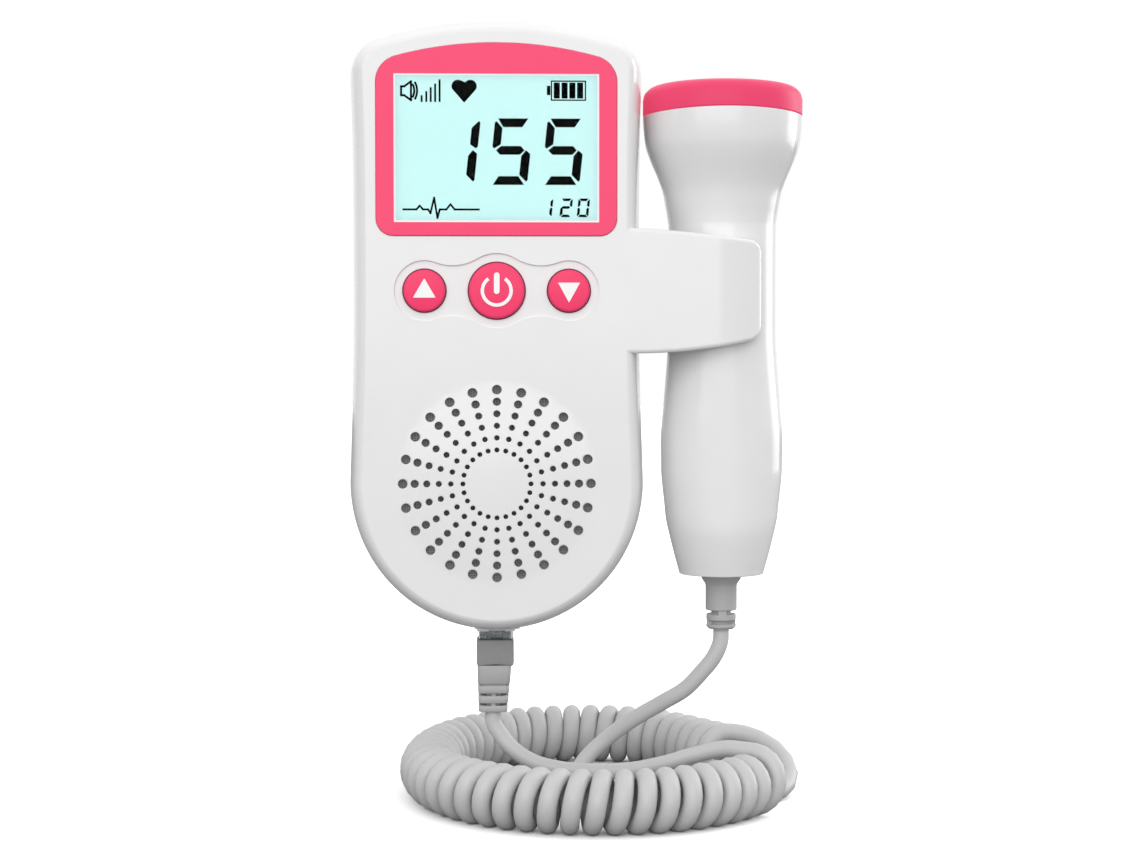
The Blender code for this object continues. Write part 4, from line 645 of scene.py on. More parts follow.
def case_outline(inset):
    """The case seen from the front, drawn in all round."""
    corner = max(SHOULDER_CORNER - inset, 0.8)
    half = arched(TOP - ARCH, ARCH - inset, SHOULDER - inset, corner, 12)
    corner_z = half.pop()[1]
    side = [(SHOULDER, corner_z), (WAIST, 0.78 * corner_z + 0.22 * HIP_Z),
            (WAIST, 0.34 * corner_z + 0.66 * HIP_Z), (HIP_RADIUS, HIP_Z)]
    half += [(x - inset, z) for x, z in through(side, 4)[:-1]]
    half += arc(0.0, HIP_Z, HIP_RADIUS - inset, math.pi / 2, math.pi, 48)
    return mirrored(half)


def half_case(way, crown, edge, wall, start):
    """One half of the case as a solid; with a wall, the space inside it."""
    rings = []
    for share, inset in through(crown, 4):
        depth = share * (PARTING - wall) if share > 0 else start
        rings.append([(x, -PARTING - way * depth, z) for x, z in case_outline(inset * edge + wall)])
    return loft(rings)


def surround(grow):
    """The pink frame round the display, with its arched top."""
    half_width = SCREEN_HALF + grow
    low_corner = 3.7 + grow
    half = arched(SCREEN_TOP - SCREEN_ARCH, SCREEN_ARCH + grow, half_width, 5.6 + grow, 14)
    half += arc(half_width - low_corner, SCREEN_BOTTOM - grow + low_corner, low_corner,
                math.pi / 2, math.pi, 10)
    return mirrored(half)


def tray(grow):
    """Three round lobes round the keys, joined by hollow blends."""
    reach = MIDDLE_LOBE + HOLLOW
    blend_x = (SIDE_KEY_X ** 2 + reach ** 2 - (SIDE_LOBE + HOLLOW) ** 2) / (2 * SIDE_KEY_X)
    blend_z = math.sqrt(reach ** 2 - blend_x ** 2)
    near = math.atan2(blend_x, blend_z)
    far = math.atan2(blend_x - SIDE_KEY_X, blend_z)
    quarter = arc(0.0, 0.0, MIDDLE_LOBE + grow, 0.0, near, 10)[:-1]
    quarter += arc(blend_x, blend_z, HOLLOW - grow, math.pi + near, math.pi + far, 12)[:-1]
    quarter += arc(SIDE_KEY_X, 0.0, SIDE_LOBE + grow, far, math.pi / 2, 16)
    lower = [(x, -z) for x, z in reversed(quarter[:-1])]
    return [(x, KEY_Z + z) for x, z in mirrored(quarter + lower)]
# %% [markdown]
# The holder is two fingers. Each is a row of upright sections from the wall out to the
# tip: flat outside, hollowed to the probe's oval inside, with rounded outer rims. The
# grille is a slightly crowned disc with six rings of holes that widen outwards.
# %% The holder's fingers and the grille
FINGER_ROOT = 26.0
FINGER_BEND = 46.2
FINGER_TIP = 57.6
FINGER_OUTSIDE = 16.995
FINGER_RIM = 0.9
TIP_ROUND = 2.6
POCKET_DEPTH = 12.2
POCKET_REACH = 13.8
FINGER_SHARES = (0.0, 0.08, 0.16, 0.24, 0.32, 0.4, 0.48, 0.56, 0.63, 0.7, 0.76, 0.81, 0.85, 0.885,
                 0.915, 0.94, 0.96, 0.975, 0.986, 0.994, 1.0)


def fallen(beyond, radius):
    """How far a rounded edge has dropped, that many millimetres past its end; minus is before it."""
    past = min(max(beyond + radius, 0.0), radius)
    return radius - math.sqrt(radius ** 2 - past ** 2)


def finger(way, edge):
    """One finger of the holder; it starts inside the case's rounded edge."""
    start = WAIST - 0.45 * edge
    stations = [(start + share * (FINGER_TIP - start), share) for share in FINGER_SHARES]
    turn = [math.pi / 2 * step / 4 for step in range(5)]
    rings = []
    for x, share in [(FINGER_ROOT, 0.0)] + stations:
        bend = max(x - FINGER_BEND, 0.0) / (FINGER_TIP - FINGER_BEND)
        outer = FINGER_OUTSIDE - 4.0 * bend ** 2 - fallen(x - FINGER_TIP, FINGER_RIM) - FINGER_RIM
        inner = POCKET_DEPTH * math.sqrt(1 - (max(x - PROBE_X, 0.0) / POCKET_REACH) ** 2)
        if x == FINGER_ROOT:
            inner = 16.9 - WALL
        high = -13.3 - 2.7 * share ** 1.3 - fallen(x - FINGER_TIP, TIP_ROUND)
        low = -40.3 + 3.3 * share ** 2 + fallen(x - FINGER_TIP, TIP_ROUND)
        upper = [(outer + FINGER_RIM * math.sin(a), high + FINGER_RIM * (math.cos(a) - 1)) for a in turn]
        lower = [(outer + FINGER_RIM * math.cos(a), low - FINGER_RIM * (math.sin(a) - 1)) for a in turn]
        ring = [(inner, high)] + upper + lower + [(inner, low)]
        rings.append([(x, -PARTING - way * depth, z) for depth, z in ring])
    return loft(rings)


GRILLE_RADIUS = 22.4
GRILLE_RISE = 1.2
FIRST_RING = 7.32
RING_STEP = 2.59
HOLE_WIDTHS = (1.06, 1.16, 1.29, 1.51, 1.77, 2.09)
CHAMFER = 0.22


def crown_at(radius):
    """Depth of the grille's crowned face."""
    return FRONT + GRILLE_RISE * (1 - (radius / GRILLE_RADIUS) ** 2)


def grille_holes():
    """Six rings of 24 holes, each with a small chamfer at its mouth."""
    holes = []
    for spoke in range(24):
        angle = math.tau * spoke / 24
        for ring, width in enumerate(HOLE_WIDTHS):
            out = FIRST_RING + ring * RING_STEP
            mouth = crown_at(out)
            radius = width / 2
            profile = ((0.0, INSIDE - PAST), (radius, INSIDE - PAST), (radius, mouth - 0.14),
                       (radius + CHAMFER, mouth + 0.08), (radius + CHAMFER, mouth + PAST),
                       (0.0, mouth + PAST))
            place = (out * math.sin(angle), 0.0, GRILLE_Z + out * math.cos(angle))
            holes.append(turned(profile, 18, place, True))
    return gathered(holes)


def jack_notch():
    """The opening for the plug's housing at the case's foot."""
    return slab(5.3, PARTING - 6.5, PARTING + 6.5, -103.6, -88.9)

# %% [markdown]
# The front is a shell with the crowned grille and a finger of the holder. Then the
# seat of the screen frame, the window's opening, the key tray, the key holes, the
# grille's holes and the plug's notch are cut out, in that order.
# %% Front of the case
front_solid = rounded(half_case(1, FRONT_CROWN, FRONT_EDGE, 0.0, SEAM), 1.1, 3, 25, at_depth(FRONT))
front_solid = rounded(front_solid, 0.22, 1, 60, at_depth(PARTING + SEAM))
front_shell = add_piece("case_front", front_solid, WHITE_ABS, replaces=("front_shell",))
cut(front_shell, half_case(1, FRONT_CROWN, FRONT_EDGE, WALL, -PAST))
dome_profile = [(0.0, FRONT - 1.1), (GRILLE_RADIUS, FRONT - 1.1)]
dome_profile += [(GRILLE_RADIUS * share, crown_at(GRILLE_RADIUS * share))
                 for share in (1.0, 0.9, 0.8, 0.7, 0.6, 0.45, 0.3, 0.15, 0.0)]
join(front_shell, turned(dome_profile, 96, (0.0, 0.0, GRILLE_Z), True), finger(1, FRONT_EDGE))
SEAT_STEPS = ((SCREEN_SEAT - 0.15, 0.06), (FRONT - 0.1, 0.06), (FRONT + 0.02, 0.18), (FRONT + PAST, 0.18))
TRAY_STEPS = ((FRONT - 0.45, -0.25), (FRONT - 0.38, 0.0), (FRONT - 0.06, 0.0), (FRONT + 0.02, 0.08),
              (FRONT + PAST, 0.08))
cut(front_shell, stepped(surround, SEAT_STEPS), slab(23.5, INSIDE - PAST, FRONT, -13.7, 21.0),
    stepped(tray, TRAY_STEPS))
key_holes = []
for name, x, radius in KEYS:
    hole = radius + 0.3
    key_profile = ((0.0, INSIDE - PAST), (hole, INSIDE - PAST), (hole, FRONT - 0.5),
                   (hole + 0.08, FRONT - 0.4), (hole + 0.08, FRONT + 1.0), (0.0, FRONT + 1.0))
    key_holes.append(turned(key_profile, 64, (x, 0.0, KEY_Z), True))
cut(front_shell, gathered(key_holes), grille_holes(), jack_notch())
even_shading(front_shell)
print(len(front_shell.data.polygons), "faces in the front of the case")
# %% [markdown]
# The back has the battery bay with its opening, four screw wells and the rear finger.
# The door is a plate with two hooks at its top edge and four grip grooves at its foot.
# %% Back of the case
BAY_HALF = 15.15
BAY_BACK = 1.8
BAY_LOW = -85.2
BAY_TOP = -23.8
BAY_WALL = 1.5
DOOR_HALF = 15.95
DOOR_LOW = -86.0
DOOR_TOP = -27.0
DOOR_GAP = 0.3
WELL = ((0.0, -PAST), (2.3, -PAST), (2.3, -0.2), (1.9, 0.2), (1.9, 11.0), (1.3, 11.0), (1.3, 19.0),
        (0.0, 19.0))
rear_solid = rounded(half_case(-1, REAR_CROWN, BACK_EDGE, 0.0, SEAM), 0.9, 3, 25, at_depth(0.0))
rear_solid = rounded(rear_solid, 0.22, 1, 60, at_depth(PARTING - SEAM))
rear_shell = add_piece("case_back", rear_solid, WHITE_ABS, replaces=("rear_shell",))
cut(rear_shell, half_case(-1, REAR_CROWN, BACK_EDGE, WALL, -PAST))
bosses = [rod(2.8, 1.1, PARTING - SEAM, 32, (x, 0.0, z), True) for x, z in CASE_SCREWS]
bay = slab(BAY_HALF + BAY_WALL, 1.1, 19.0, BAY_LOW - BAY_WALL, BAY_TOP + BAY_WALL)
join(rear_shell, bay, gathered(bosses), finger(-1, BACK_EDGE))
door_hole = rounded(slab(DOOR_HALF + DOOR_GAP, -PAST, 2.0, DOOR_LOW - DOOR_GAP, DOOR_TOP + DOOR_GAP),
                    0.8, 4, 60, goes_back)
wells = [turned(WELL, 32, (x, 0.0, z), True) for x, z in CASE_SCREWS]
cut(rear_shell, slab(BAY_HALF, BAY_BACK, 17.5, BAY_LOW, -28.9),
    slab(BAY_HALF, BAY_BACK, 6.5, -29.0, BAY_TOP), door_hole, gathered(wells), jack_notch())
even_shading(rear_shell)

door_plate = rounded(slab(DOOR_HALF, 0.0, 1.7, DOOR_LOW, DOOR_TOP), 0.7, 4, 60, goes_back)
door_plate = rounded(door_plate, 0.3, 3, 60, at_depth(0.0))
door = add_piece("battery_cover", door_plate, WHITE_ABS, "battery_door", ("battery_door",))
hook_side = ((3.3, -29.6), (3.3, -24.8), (3.0, -24.5), (2.1, -24.5), (2.1, -27.3), (1.6, -27.3),
             (1.6, -29.6))
hooks = [rounded(across(hook_side, middle - 3.0, middle + 3.0), 0.15, 2) for middle in (-9.5, 9.5)]
join(door, gathered(hooks))
GROOVE_DEPTH = 0.4
grooves = [rounded(slab(6.0, -PAST, GROOVE_DEPTH, foot, foot + 0.8), 0.15, 2, 60, at_depth(GROOVE_DEPTH))
           for foot in (-84.2, -82.4, -80.6, -78.8)]
cut(door, gathered(grooves))
even_shading(door)

# %% [markdown]
# The screen is a pink frame with a white printed line round its opening, and a clear
# window set into it.
# %% Frame and window
FRAME_FRONT = 34.3
LINE_WIDTH = 0.38
WINDOW_GAP = 0.15


def opening(inset, back, front):
    """A block as large as the frame's opening, or smaller all round, between two depths."""
    return slab(OPENING_HALF - inset, back, front, OPENING_LOW + inset, OPENING_TOP - inset)


frame_solid = rounded(prism(surround(0.0), SCREEN_SEAT, FRAME_FRONT), 0.22, 3, 60, at_depth(FRAME_FRONT))
screen_frame = add_piece("screen_frame", frame_solid, PINK_PRINT, replaces=("screen_bezel",))
cut(screen_frame, opening(0.0, 31.0, 36.0))
even_shading(screen_frame)
white_line = add_piece("white_window_line", opening(0.0, 34.08, 34.16), WHITE_INK)
cut(white_line, opening(LINE_WIDTH, 33.0, 36.0))
add_piece("clear_window", rounded(opening(WINDOW_GAP, SCREEN_SEAT, 34.1), 0.08, 1), CLEAR_WINDOW,
          replaces=("screen_window",))

# %% [markdown]
# What the display shows is made of dark strokes just before its film: a pulse of 155,
# signs for sound, heart and battery, a small pulse trace and a small plain number.
# %% What the display shows
def flat(outline):
    """A thin dark stroke before the display's film."""
    return prism(outline, 32.51, 32.58)


def stroke(points, width):
    """A bent line of even width, as one flat shape per straight part."""
    shapes = []
    for (ax, az), (bx, bz) in zip(points, points[1:]):
        along = Vector((bx - ax, bz - az)).normalized() * width / 2
        side = Vector((-along.y, along.x))
        a, b = Vector((ax, az)) - along * 0.9, Vector((bx, bz)) + along * 0.9
        shapes.append(flat([tuple(a + side), tuple(b + side), tuple(b - side), tuple(a - side)]))
    return shapes


SEGMENTS = {"1": "bc", "2": "abged", "5": "afgcd", "0": "abcdef"}
DIGIT_LEAN = math.tan(math.radians(6))


def digit(number, left, bottom, width, height, t):
    """A seven-segment digit that leans to the right; t is the width of its bars."""
    middle = 0.52 * height
    bars = {
        "a": [(0.33 * t, height), (width - 0.65 * t, height), (width - 1.25 * t, height - t),
              (1.03 * t, height - t)],
        "d": [(1.08 * t, t), (width - 1.13 * t, t), (width - 0.34 * t, 0.0), (0.5 * t, 0.0)],
        "g": [(0.45 * t, middle), (t, middle + t / 2), (width - 1.2 * t, middle + t / 2),
              (width - 0.72 * t, middle), (width - 1.2 * t, middle - t / 2), (t, middle - t / 2)],
        "f": [(0.16 * t, height - 0.3 * t), (0.95 * t, height - 1.1 * t), (0.95 * t, middle + 0.7 * t),
              (0.22 * t, middle + 0.2 * t), (0.0, middle + 0.45 * t), (0.0, height - 0.5 * t)],
        "c": [(width - 0.55 * t, middle + 0.02 * t), (width, middle - 0.42 * t), (width, 0.56 * t),
              (width - 0.16 * t, 0.36 * t), (width - 1.03 * t, 1.17 * t),
              (width - 1.03 * t, middle - 0.66 * t)]}
    bars["b"] = [(width - x, z) for x, z in bars["f"]]
    bars["e"] = [(width - x, z) for x, z in bars["c"]]
    return [flat([(left + x + z * DIGIT_LEAN, bottom + z) for x, z in bars[name]])
            for name in SEGMENTS[number]]


def heart(centre_x, bottom, width, height):
    """Two round lobes and a point."""
    lobe = width / 4
    half = arc(centre_x + lobe, bottom + height - lobe, lobe * 1.04, -math.pi / 2 + 0.15,
               math.pi / 2 + 0.45, 14)
    half.append((centre_x, bottom))
    return half + [(2 * centre_x - x, z) for x, z in reversed(half[:-1])]


SPEAKER = ((-20.42, 16.87), (-19.75, 16.87), (-18.3, 17.93), (-18.3, 13.92), (-19.75, 14.97),
           (-20.42, 14.97), (-20.42, 16.87))
BATTERY = ((19.1, 18.1), (19.1, 14.05), (11.8, 14.05), (11.8, 18.1), (19.1, 18.1))
TRACE = ((-20.0, -9.4), (-17.2, -9.4), (-16.5, -8.6), (-15.8, -9.4), (-14.7, -9.4), (-14.2, -10.2),
         (-13.4, -6.9), (-12.7, -11.2), (-12.2, -9.4), (-10.8, -9.4), (-9.9, -8.3), (-9.0, -9.4),
         (-3.8, -9.4))
marks = []
for number, left in (("1", -13.15), ("5", -1.75), ("5", 9.5)):
    marks += digit(number, left, -4.1, 8.3, 14.2, 1.85)
marks += stroke(SPEAKER, 0.45)
for x, radius, steps in ((-20.4, 2.8, 8), (-20.75, 3.75, 10)):
    marks += stroke(arc(x, 15.96, radius, math.radians(63), math.radians(117), steps), 0.44)
for x, top in ((-16.02, 14.79), (-15.03, 15.67), (-14.08, 16.51), (-13.13, 17.29), (-12.18, 18.2)):
    marks += stroke([(x, 13.75), (x, top)], 0.42)
marks.append(flat(heart(-6.92, 13.42, 5.3, 4.85)))
marks += stroke(BATTERY, 0.28)
marks.append(flat(oblong(10.82, 11.58, 15.1, 17.1)))
for left in (12.3, 13.97, 15.64, 17.3):
    marks.append(flat(oblong(left, left + 1.3, 14.4, 17.8)))
marks += stroke(TRACE, 0.42)
for number, left in (("1", 9.3), ("2", 13.5), ("0", 17.2)):
    marks += digit(number, left, -11.0, 2.5, 4.0, 0.55)
add_piece("display_marks", gathered(marks), DISPLAY_INK, angle=20)

# %% [markdown]
# Keys are turned pieces with a soft rim and a slightly crowned top. Their signs are
# printed in white: a ring with a bar, and two triangles. A dark plum skirt rides with
# each key and fills the ring round it: painted shade in the gap between key and case.
# %% Keys
KEY_TOP = 34.9
KEY_RIM = 0.5


def key_shape(x, radius):
    """A key with its hidden flange and foot."""
    rim = [(radius + KEY_RIM * (math.cos(a) - 1), KEY_TOP - 0.7 + KEY_RIM * math.sin(a))
           for a in [math.pi / 2 * step / 6 for step in range(7)]]
    crown = [((radius - KEY_RIM) * share, KEY_TOP - 0.2 * share * share)
             for share in (0.8, 0.6, 0.4, 0.2, 0.0)]
    profile = [(0.0, 30.5), (1.5, 30.5), (1.5, 30.9), (radius + 1.1, 30.9), (radius + 1.1, 31.5),
               (radius, 31.5)]
    return turned(profile + rim + crown, 80, (x, 0.0, KEY_Z), True)


def printed(outline):
    """White print on a key: it lies a hair above the crowned top."""
    return prism(outline, KEY_TOP - 0.3, KEY_TOP + 0.02)


def round_bar(half, bottom, top):
    """An upright bar with round ends."""
    return (arc(0.0, top - half, half, -math.pi / 2, math.pi / 2, 10)
            + arc(0.0, bottom + half, half, math.pi / 2, 1.5 * math.pi, 10))


def open_ring(outer, width, gap):
    """A ring that is open at its top."""
    return (arc(0.0, 0.0, outer, gap, math.tau - gap, 60)
            + arc(0.0, 0.0, outer - width, math.tau - gap, gap, 60))


def soft_triangle(base, apex, half):
    """A triangle with rounded corners."""
    return rounded(printed([(-half, base), (half, base), (0.0, apex)]), 0.12, 3, 50, goes_back)


signs = {"power": [printed(open_ring(3.44, 0.72, math.radians(35))), printed(round_bar(0.6, -0.7, 3.9))],
         "volume_up": [soft_triangle(-1.5, 2.64, 2.42)], "volume_down": [soft_triangle(1.72, -2.55, 2.36)]}
for name, x, radius in KEYS:
    add_piece(f"{name}_cap", key_shape(x, radius), PINK_ABS, f"{name}_key", (f"{name}_key",))
    # The skirt's dark plum is painted shade in the gap round the key.
    shade_skirt_in, shade_skirt_out = radius - 0.1, radius + 0.26
    shade_skirt = ((shade_skirt_in, 31.4), (shade_skirt_out, 31.4), (shade_skirt_out, 33.75), (shade_skirt_in, 33.75))
    add_piece(f"{name}_skirt", turned(shade_skirt, 80, (x, 0.0, KEY_Z), True), PLUM_GAP_PAINTED_SHADE, f"{name}_key")
    sign = gathered(signs[name])
    bmesh.ops.translate(sign, verts=sign.verts, vec=(x, 0.0, KEY_Z))
    add_piece(f"{name}_sign", sign, WHITE_INK, f"{name}_key", angle=20)

# %% [markdown]
# Behind the grille lies a disc of grey dust cloth, glued to the gasket's front. It is
# what the eye meets through the holes.
# %% Dust cloth
add_piece("dust_cloth", rod(22.0, 31.55, 31.68, 96, (0.0, 0.0, GRILLE_Z), True), DUST_CLOTH)

# %% [markdown]
# The probe is two half shells with a fine seam at its sides and a pink head that goes
# against the skin. Its outline comes from the solids' table, made smooth; below the
# neck the grip is a little flatter than it is wide. The line between the head and the
# shells bows up a little in the middle.
# %% Probe
FOOT_Z = -89.6
LENGTH = 102.2
CAP_LINE = 12.6
HEAD = 17.7
GRIP = 11.9
WIDTHS = ((0.0, 9.38), (0.016, 9.8), (0.048, 10.7), (0.114, 12.3), (0.147, 12.7), (0.212, 13.4),
          (0.243, 13.5), (0.31, 13.5), (0.376, 12.94), (0.475, 12.16), (0.536, GRIP), (0.732, GRIP),
          (0.769, 12.05), (0.801, 12.6), (0.835, 13.29), (0.867, 14.51), (0.9, 15.96), (0.932, 17.06),
          (0.966, 17.5), (1.0, HEAD))


def bowed(bm, low, high):
    """Bow the line between head and shells, by moving the points between two heights."""
    for vert in bm.verts:
        if low < vert.co.z < high:
            vert.co.z += 0.25 - 0.75 * ((vert.co.x - PROBE_X) / HEAD) ** 2
    return bm


def probe_solid(wall, low, high):
    """The probe's form, or the space inside its wall."""
    turns = [math.tau * side / 96 for side in range(96)]
    rings = []
    for share, half in through(WIDTHS, 4):
        z = FOOT_Z + share * LENGTH
        if low - 0.01 <= z <= high + 0.01:
            thin = min(half, GRIP) if share < 0.75 else half
            rings.append([(PROBE_X + (half - wall) * math.cos(a), -PARTING + (thin - wall) * math.sin(a), z)
                          for a in turns])
    if wall:
        rings.append([(x, y, z + PAST) for x, y, z in rings[-1]])
    return loft(rings)


for name, way in (("front", 1), ("rear", -1)):
    outer = probe_solid(0.0, FOOT_Z, CAP_LINE)
    bmesh.ops.bisect_plane(outer, geom=outer.verts[:] + outer.edges[:] + outer.faces[:],
                           plane_co=(0.0, -PARTING - way * 0.12, 0.0), plane_no=(0.0, way, 0.0),
                           clear_outer=True)
    bmesh.ops.holes_fill(outer, edges=[edge for edge in outer.edges if edge.is_boundary], sides=0)
    outer = bowed(rounded(outer, 0.18, 2, 60), CAP_LINE - 0.3, math.inf)
    shell = add_piece(f"probe_{name}", outer, WHITE_ABS, "probe", (f"probe_shell_{name}",), 40)
    cut(shell, probe_solid(1.8, FOOT_Z + 1.8, CAP_LINE),
        rod(3.8, FOOT_Z - PAST, FOOT_Z + 3.3, 48, (PROBE_X, -PARTING, 0.0)), angle=40)
    even_shading(shell)

CAP_SIDE = 3.0
CAP_BEND = ((1.0, 0.0), (0.97, 0.38), (0.86, 0.72), (0.62, 0.9), (0.32, 0.98), (0.0, 1.0))
cap_low = CAP_LINE + 0.15
cap_side = cap_low + CAP_SIDE
cap_profile = [(0.0, cap_low + 5.0), (10.6, cap_low + 5.0), (16.1, cap_side - 0.1), (16.1, cap_low),
               (HEAD - 0.15, cap_low), (HEAD, cap_low + 0.15)]
cap_profile += [(HEAD * share, cap_side + (7.1 - CAP_SIDE) * up) for share, up in through(CAP_BEND, 5)]
cap = bowed(turned(cap_profile, 96, (PROBE_X, -PARTING, 0.0)), -math.inf, cap_low + 0.2)
# The head's even glow is painted light that flattens its shading.
add_piece("probe_head", cap, PINK_CAP_PAINTED_GLOW, "probe", ("probe_cap",))

# %% [markdown]
# A soft grey relief holds the cord at the probe's foot: a flange inside the shells, a
# collar below them, a neck, and a slotted end whose two links cross each other.
# %% Relief at the probe's foot
relief_top = FOOT_Z + 3.3
relief_profile = ((0.0, relief_top), (5.5, relief_top), (5.5, relief_top - 1.2), (3.5, relief_top - 1.2),
                  (3.5, -89.9), (4.37, -89.9), (4.57, -90.1), (4.3, -90.9), (3.6, -91.9), (3.5, -92.4),
                  (3.5, -97.6), (3.3, -97.8), (2.2, -97.8), (2.2, -98.7), (3.2, -98.7), (3.3, -98.8),
                  (3.3, -99.9), (3.2, -100.0), (2.2, -100.0), (2.2, -100.9), (3.2, -100.9), (3.3, -101.0),
                  (3.3, -101.5), (2.8, RELIEF_END), (0.0, RELIEF_END))
relief = add_piece("probe_relief", turned(relief_profile, 64, (PROBE_X, -PARTING, 0.0)), RELIEF_TPE, "probe",
                   ("probe_strain_relief",), 35)
join(relief, slab(0.9, PARTING - 3.15, PARTING + 3.15, -98.75, -97.75, PROBE_X),
     slab(3.15, PARTING - 0.9, PARTING + 0.9, -100.95, -99.95, PROBE_X), angle=35)

# %% [markdown]
# The lead plugs into the case's foot with a clear handset plug: its housing shows a
# small proud rim below the case. The plug holds four contacts and two dark bars, the
# cord's end inside it, whose dark grey is partly its own and partly painted shade; its
# latch leans out a little, so that it has room to be pressed. Below come a darker
# clamp sleeve and a soft boot whose slots let it bend; a dark block behind the slots
# is painted shade. A slot is given by its start and end along the boot and the share
# of width that is left.
# %% Plug, sleeve and boot
PLUG_X = -0.3
JACK_X = -0.25
SLEEVE_X = -0.42
jack = add_piece("jack_housing", slab(5.0, 10.8, 23.2, -104.0, -89.2), WHITE_ABS, replaces=("probe_jack",))
carve(jack, prism(case_outline(0.1), 5.0, 29.0), "INTERSECT", 38)
join(jack, slab(4.2, 12.4, 21.6, -101.9, -100.0, JACK_X))
cut(jack, slab(4.0, 13.4, 20.6, -105.0, -92.5, JACK_X), slab(1.8, PARTING, 22.7, -105.0, -92.5))
plug_solid = rounded(slab(3.83, 13.7, 20.3, -103.75, -92.8, PLUG_X), 0.25, 2)
plug = add_piece("clear_plug", plug_solid, CLEAR_PLUG, replaces=("plug_body",))
cut(plug, *[slab(0.45, 12.2, 15.8, -99.1, -93.5, offset) for offset in (-2.55, -0.85, 0.85, 2.55)],
    slab(3.55, 15.0, 20.1, -105.5, -99.6, PLUG_X))
# The cord's end inside the plug: its dark grey is partly its own colour and partly painted shade.
core_parts = [slab(0.5, 15.2, 20.0, -103.7, -101.0, -3.2), slab(2.5, 15.2, 20.0, -103.7, -99.8, 0.1)]
plug_core = add_piece("plug_core", gathered([rounded(part, 0.25, 2) for part in core_parts]), DARK_CORE_AND_PAINTED_SHADE)
sleeve_side = [(4.12, -103.95), (4.14, -109.0), (3.95, -109.85), (2.6, -109.75), (1.3, -109.6),
               (0.0, -109.55)]
sleeve_outline = [(x + SLEEVE_X, z) for x, z in mirrored(sleeve_side)]
sleeve_solid = rounded(prism(sleeve_outline, 13.6, 20.4), 0.4, 3)
sleeve = add_piece("clamp_sleeve", sleeve_solid, SLEEVE_TPE, replaces=("plug_sleeve",))
BOOT_TOP = -109.75
BOOT_SLOTS = ((0.395, 0.44, 0.8), (0.6, 0.656, 0.5), (0.812, 0.868, 0.5))


def boot_z(share):
    """The height so far down the boot."""
    return BOOT_TOP + (BOOT_END - BOOT_TOP) * share


def boot_x(share):
    """The boot's middle so far down; it leans a little to the left."""
    return -0.6 - 0.35 * share


def boot_ring(share, width_share):
    """One rounded section of the boot, so far down its length."""
    half_x = width_share * (7.6 - 1.25 * share) / 2
    half_y = half_x * 0.88
    corner = 0.3 * half_x
    ring = []
    for quarter, (side_x, side_y) in enumerate(((1, 1), (-1, 1), (-1, -1), (1, -1))):
        for step in range(6):
            angle = math.pi / 2 * (quarter + step / 5)
            ring.append((boot_x(share) + side_x * (half_x - corner) + corner * math.cos(angle),
                         -PARTING + side_y * (half_y - corner) + corner * math.sin(angle), boot_z(share)))
    return ring


boot_rings = [boot_ring(0.0, 0.97), boot_ring(0.02, 1.0)]
for start, end, core in BOOT_SLOTS:
    boot_rings += [boot_ring(start - 0.012, 1.0), boot_ring(start, 0.97), boot_ring(start, core),
                   boot_ring(end, core), boot_ring(end, 0.97), boot_ring(end + 0.012, 1.0)]
boot_rings += [boot_ring(0.985, 1.0), boot_ring(1.0, 0.96)]
boot = add_piece("bend_boot", loft(boot_rings), RELIEF_TPE, replaces=("plug_boot",),
                 angle=50)
webs = [slab(0.5, PARTING - 2.4, PARTING + 2.4, boot_z(share + 0.03), boot_z(share - 0.03), boot_x(share))
        for share in (0.627, 0.839)]
join(boot, *webs, angle=50)
# A dark block behind the boot's slots: painted shade in the slots.
boot_slot_shade_solid = slab(2.85, PARTING - 1.3, PARTING + 1.3, boot_z(0.89), boot_z(0.58), -0.87)
boot_slot_shade = add_piece("boot_slot_shade", boot_slot_shade_solid, DARK_CORE_AND_PAINTED_SHADE)
latch_side = ((20.6, -94.2), (21.3, -94.5), (21.7, -103.3), (21.1, -103.7))
latch = add_piece("clear_latch", across(latch_side, -1.4, 1.4), CLEAR_PLUG, "plug_latch", ("plug_latch",))

# %% [markdown]
# Two AAA cells lie in the bay, nubs opposite, each against a tapering spring. The
# screws have round heads with a cross recess.
# %% Batteries, springs and screws
CELL = 50.5
CELL_X = 7.6
CELL_Y = -9.95
SLEEVE_PROFILE = ((0.0, 0.3), (6.3, 0.3), (6.5, 0.0), (6.95, 0.0), (7.25, 0.3), (7.25, 49.2), (6.95, 49.5),
                  (6.5, 49.5), (6.3, 49.2), (0.0, 49.2))
TIP_PROFILE = ((0.0, 0.1), (6.1, 0.1), (6.25, 0.35), (0.0, 0.35))
NUB_PROFILE = ((0.0, 49.1), (6.2, 49.1), (6.0, 49.4), (3.1, 49.4), (2.7, 49.6), (2.7, 50.3), (2.5, CELL),
               (0.0, CELL))
for name, x, bottom, up in (("battery_1", -CELL_X, -80.4, True), ("battery_2", CELL_X, -84.2, False)):
    shapes = []
    for profile in (SLEEVE_PROFILE, TIP_PROFILE, NUB_PROFILE):
        heights = [(radius, height if up else CELL - height) for radius, height in profile]
        shapes.append(turned(heights, 64, (x, CELL_Y, bottom)))
    add_piece(f"{name}_sleeve", shapes[0], BATTERY_SLEEVE, replaces=(name,))
    add_piece(f"{name}_ends", gathered(shapes[1:]), BATTERY_TIP)
SPRING_TURNS = 3
SPRING_STEPS = 96
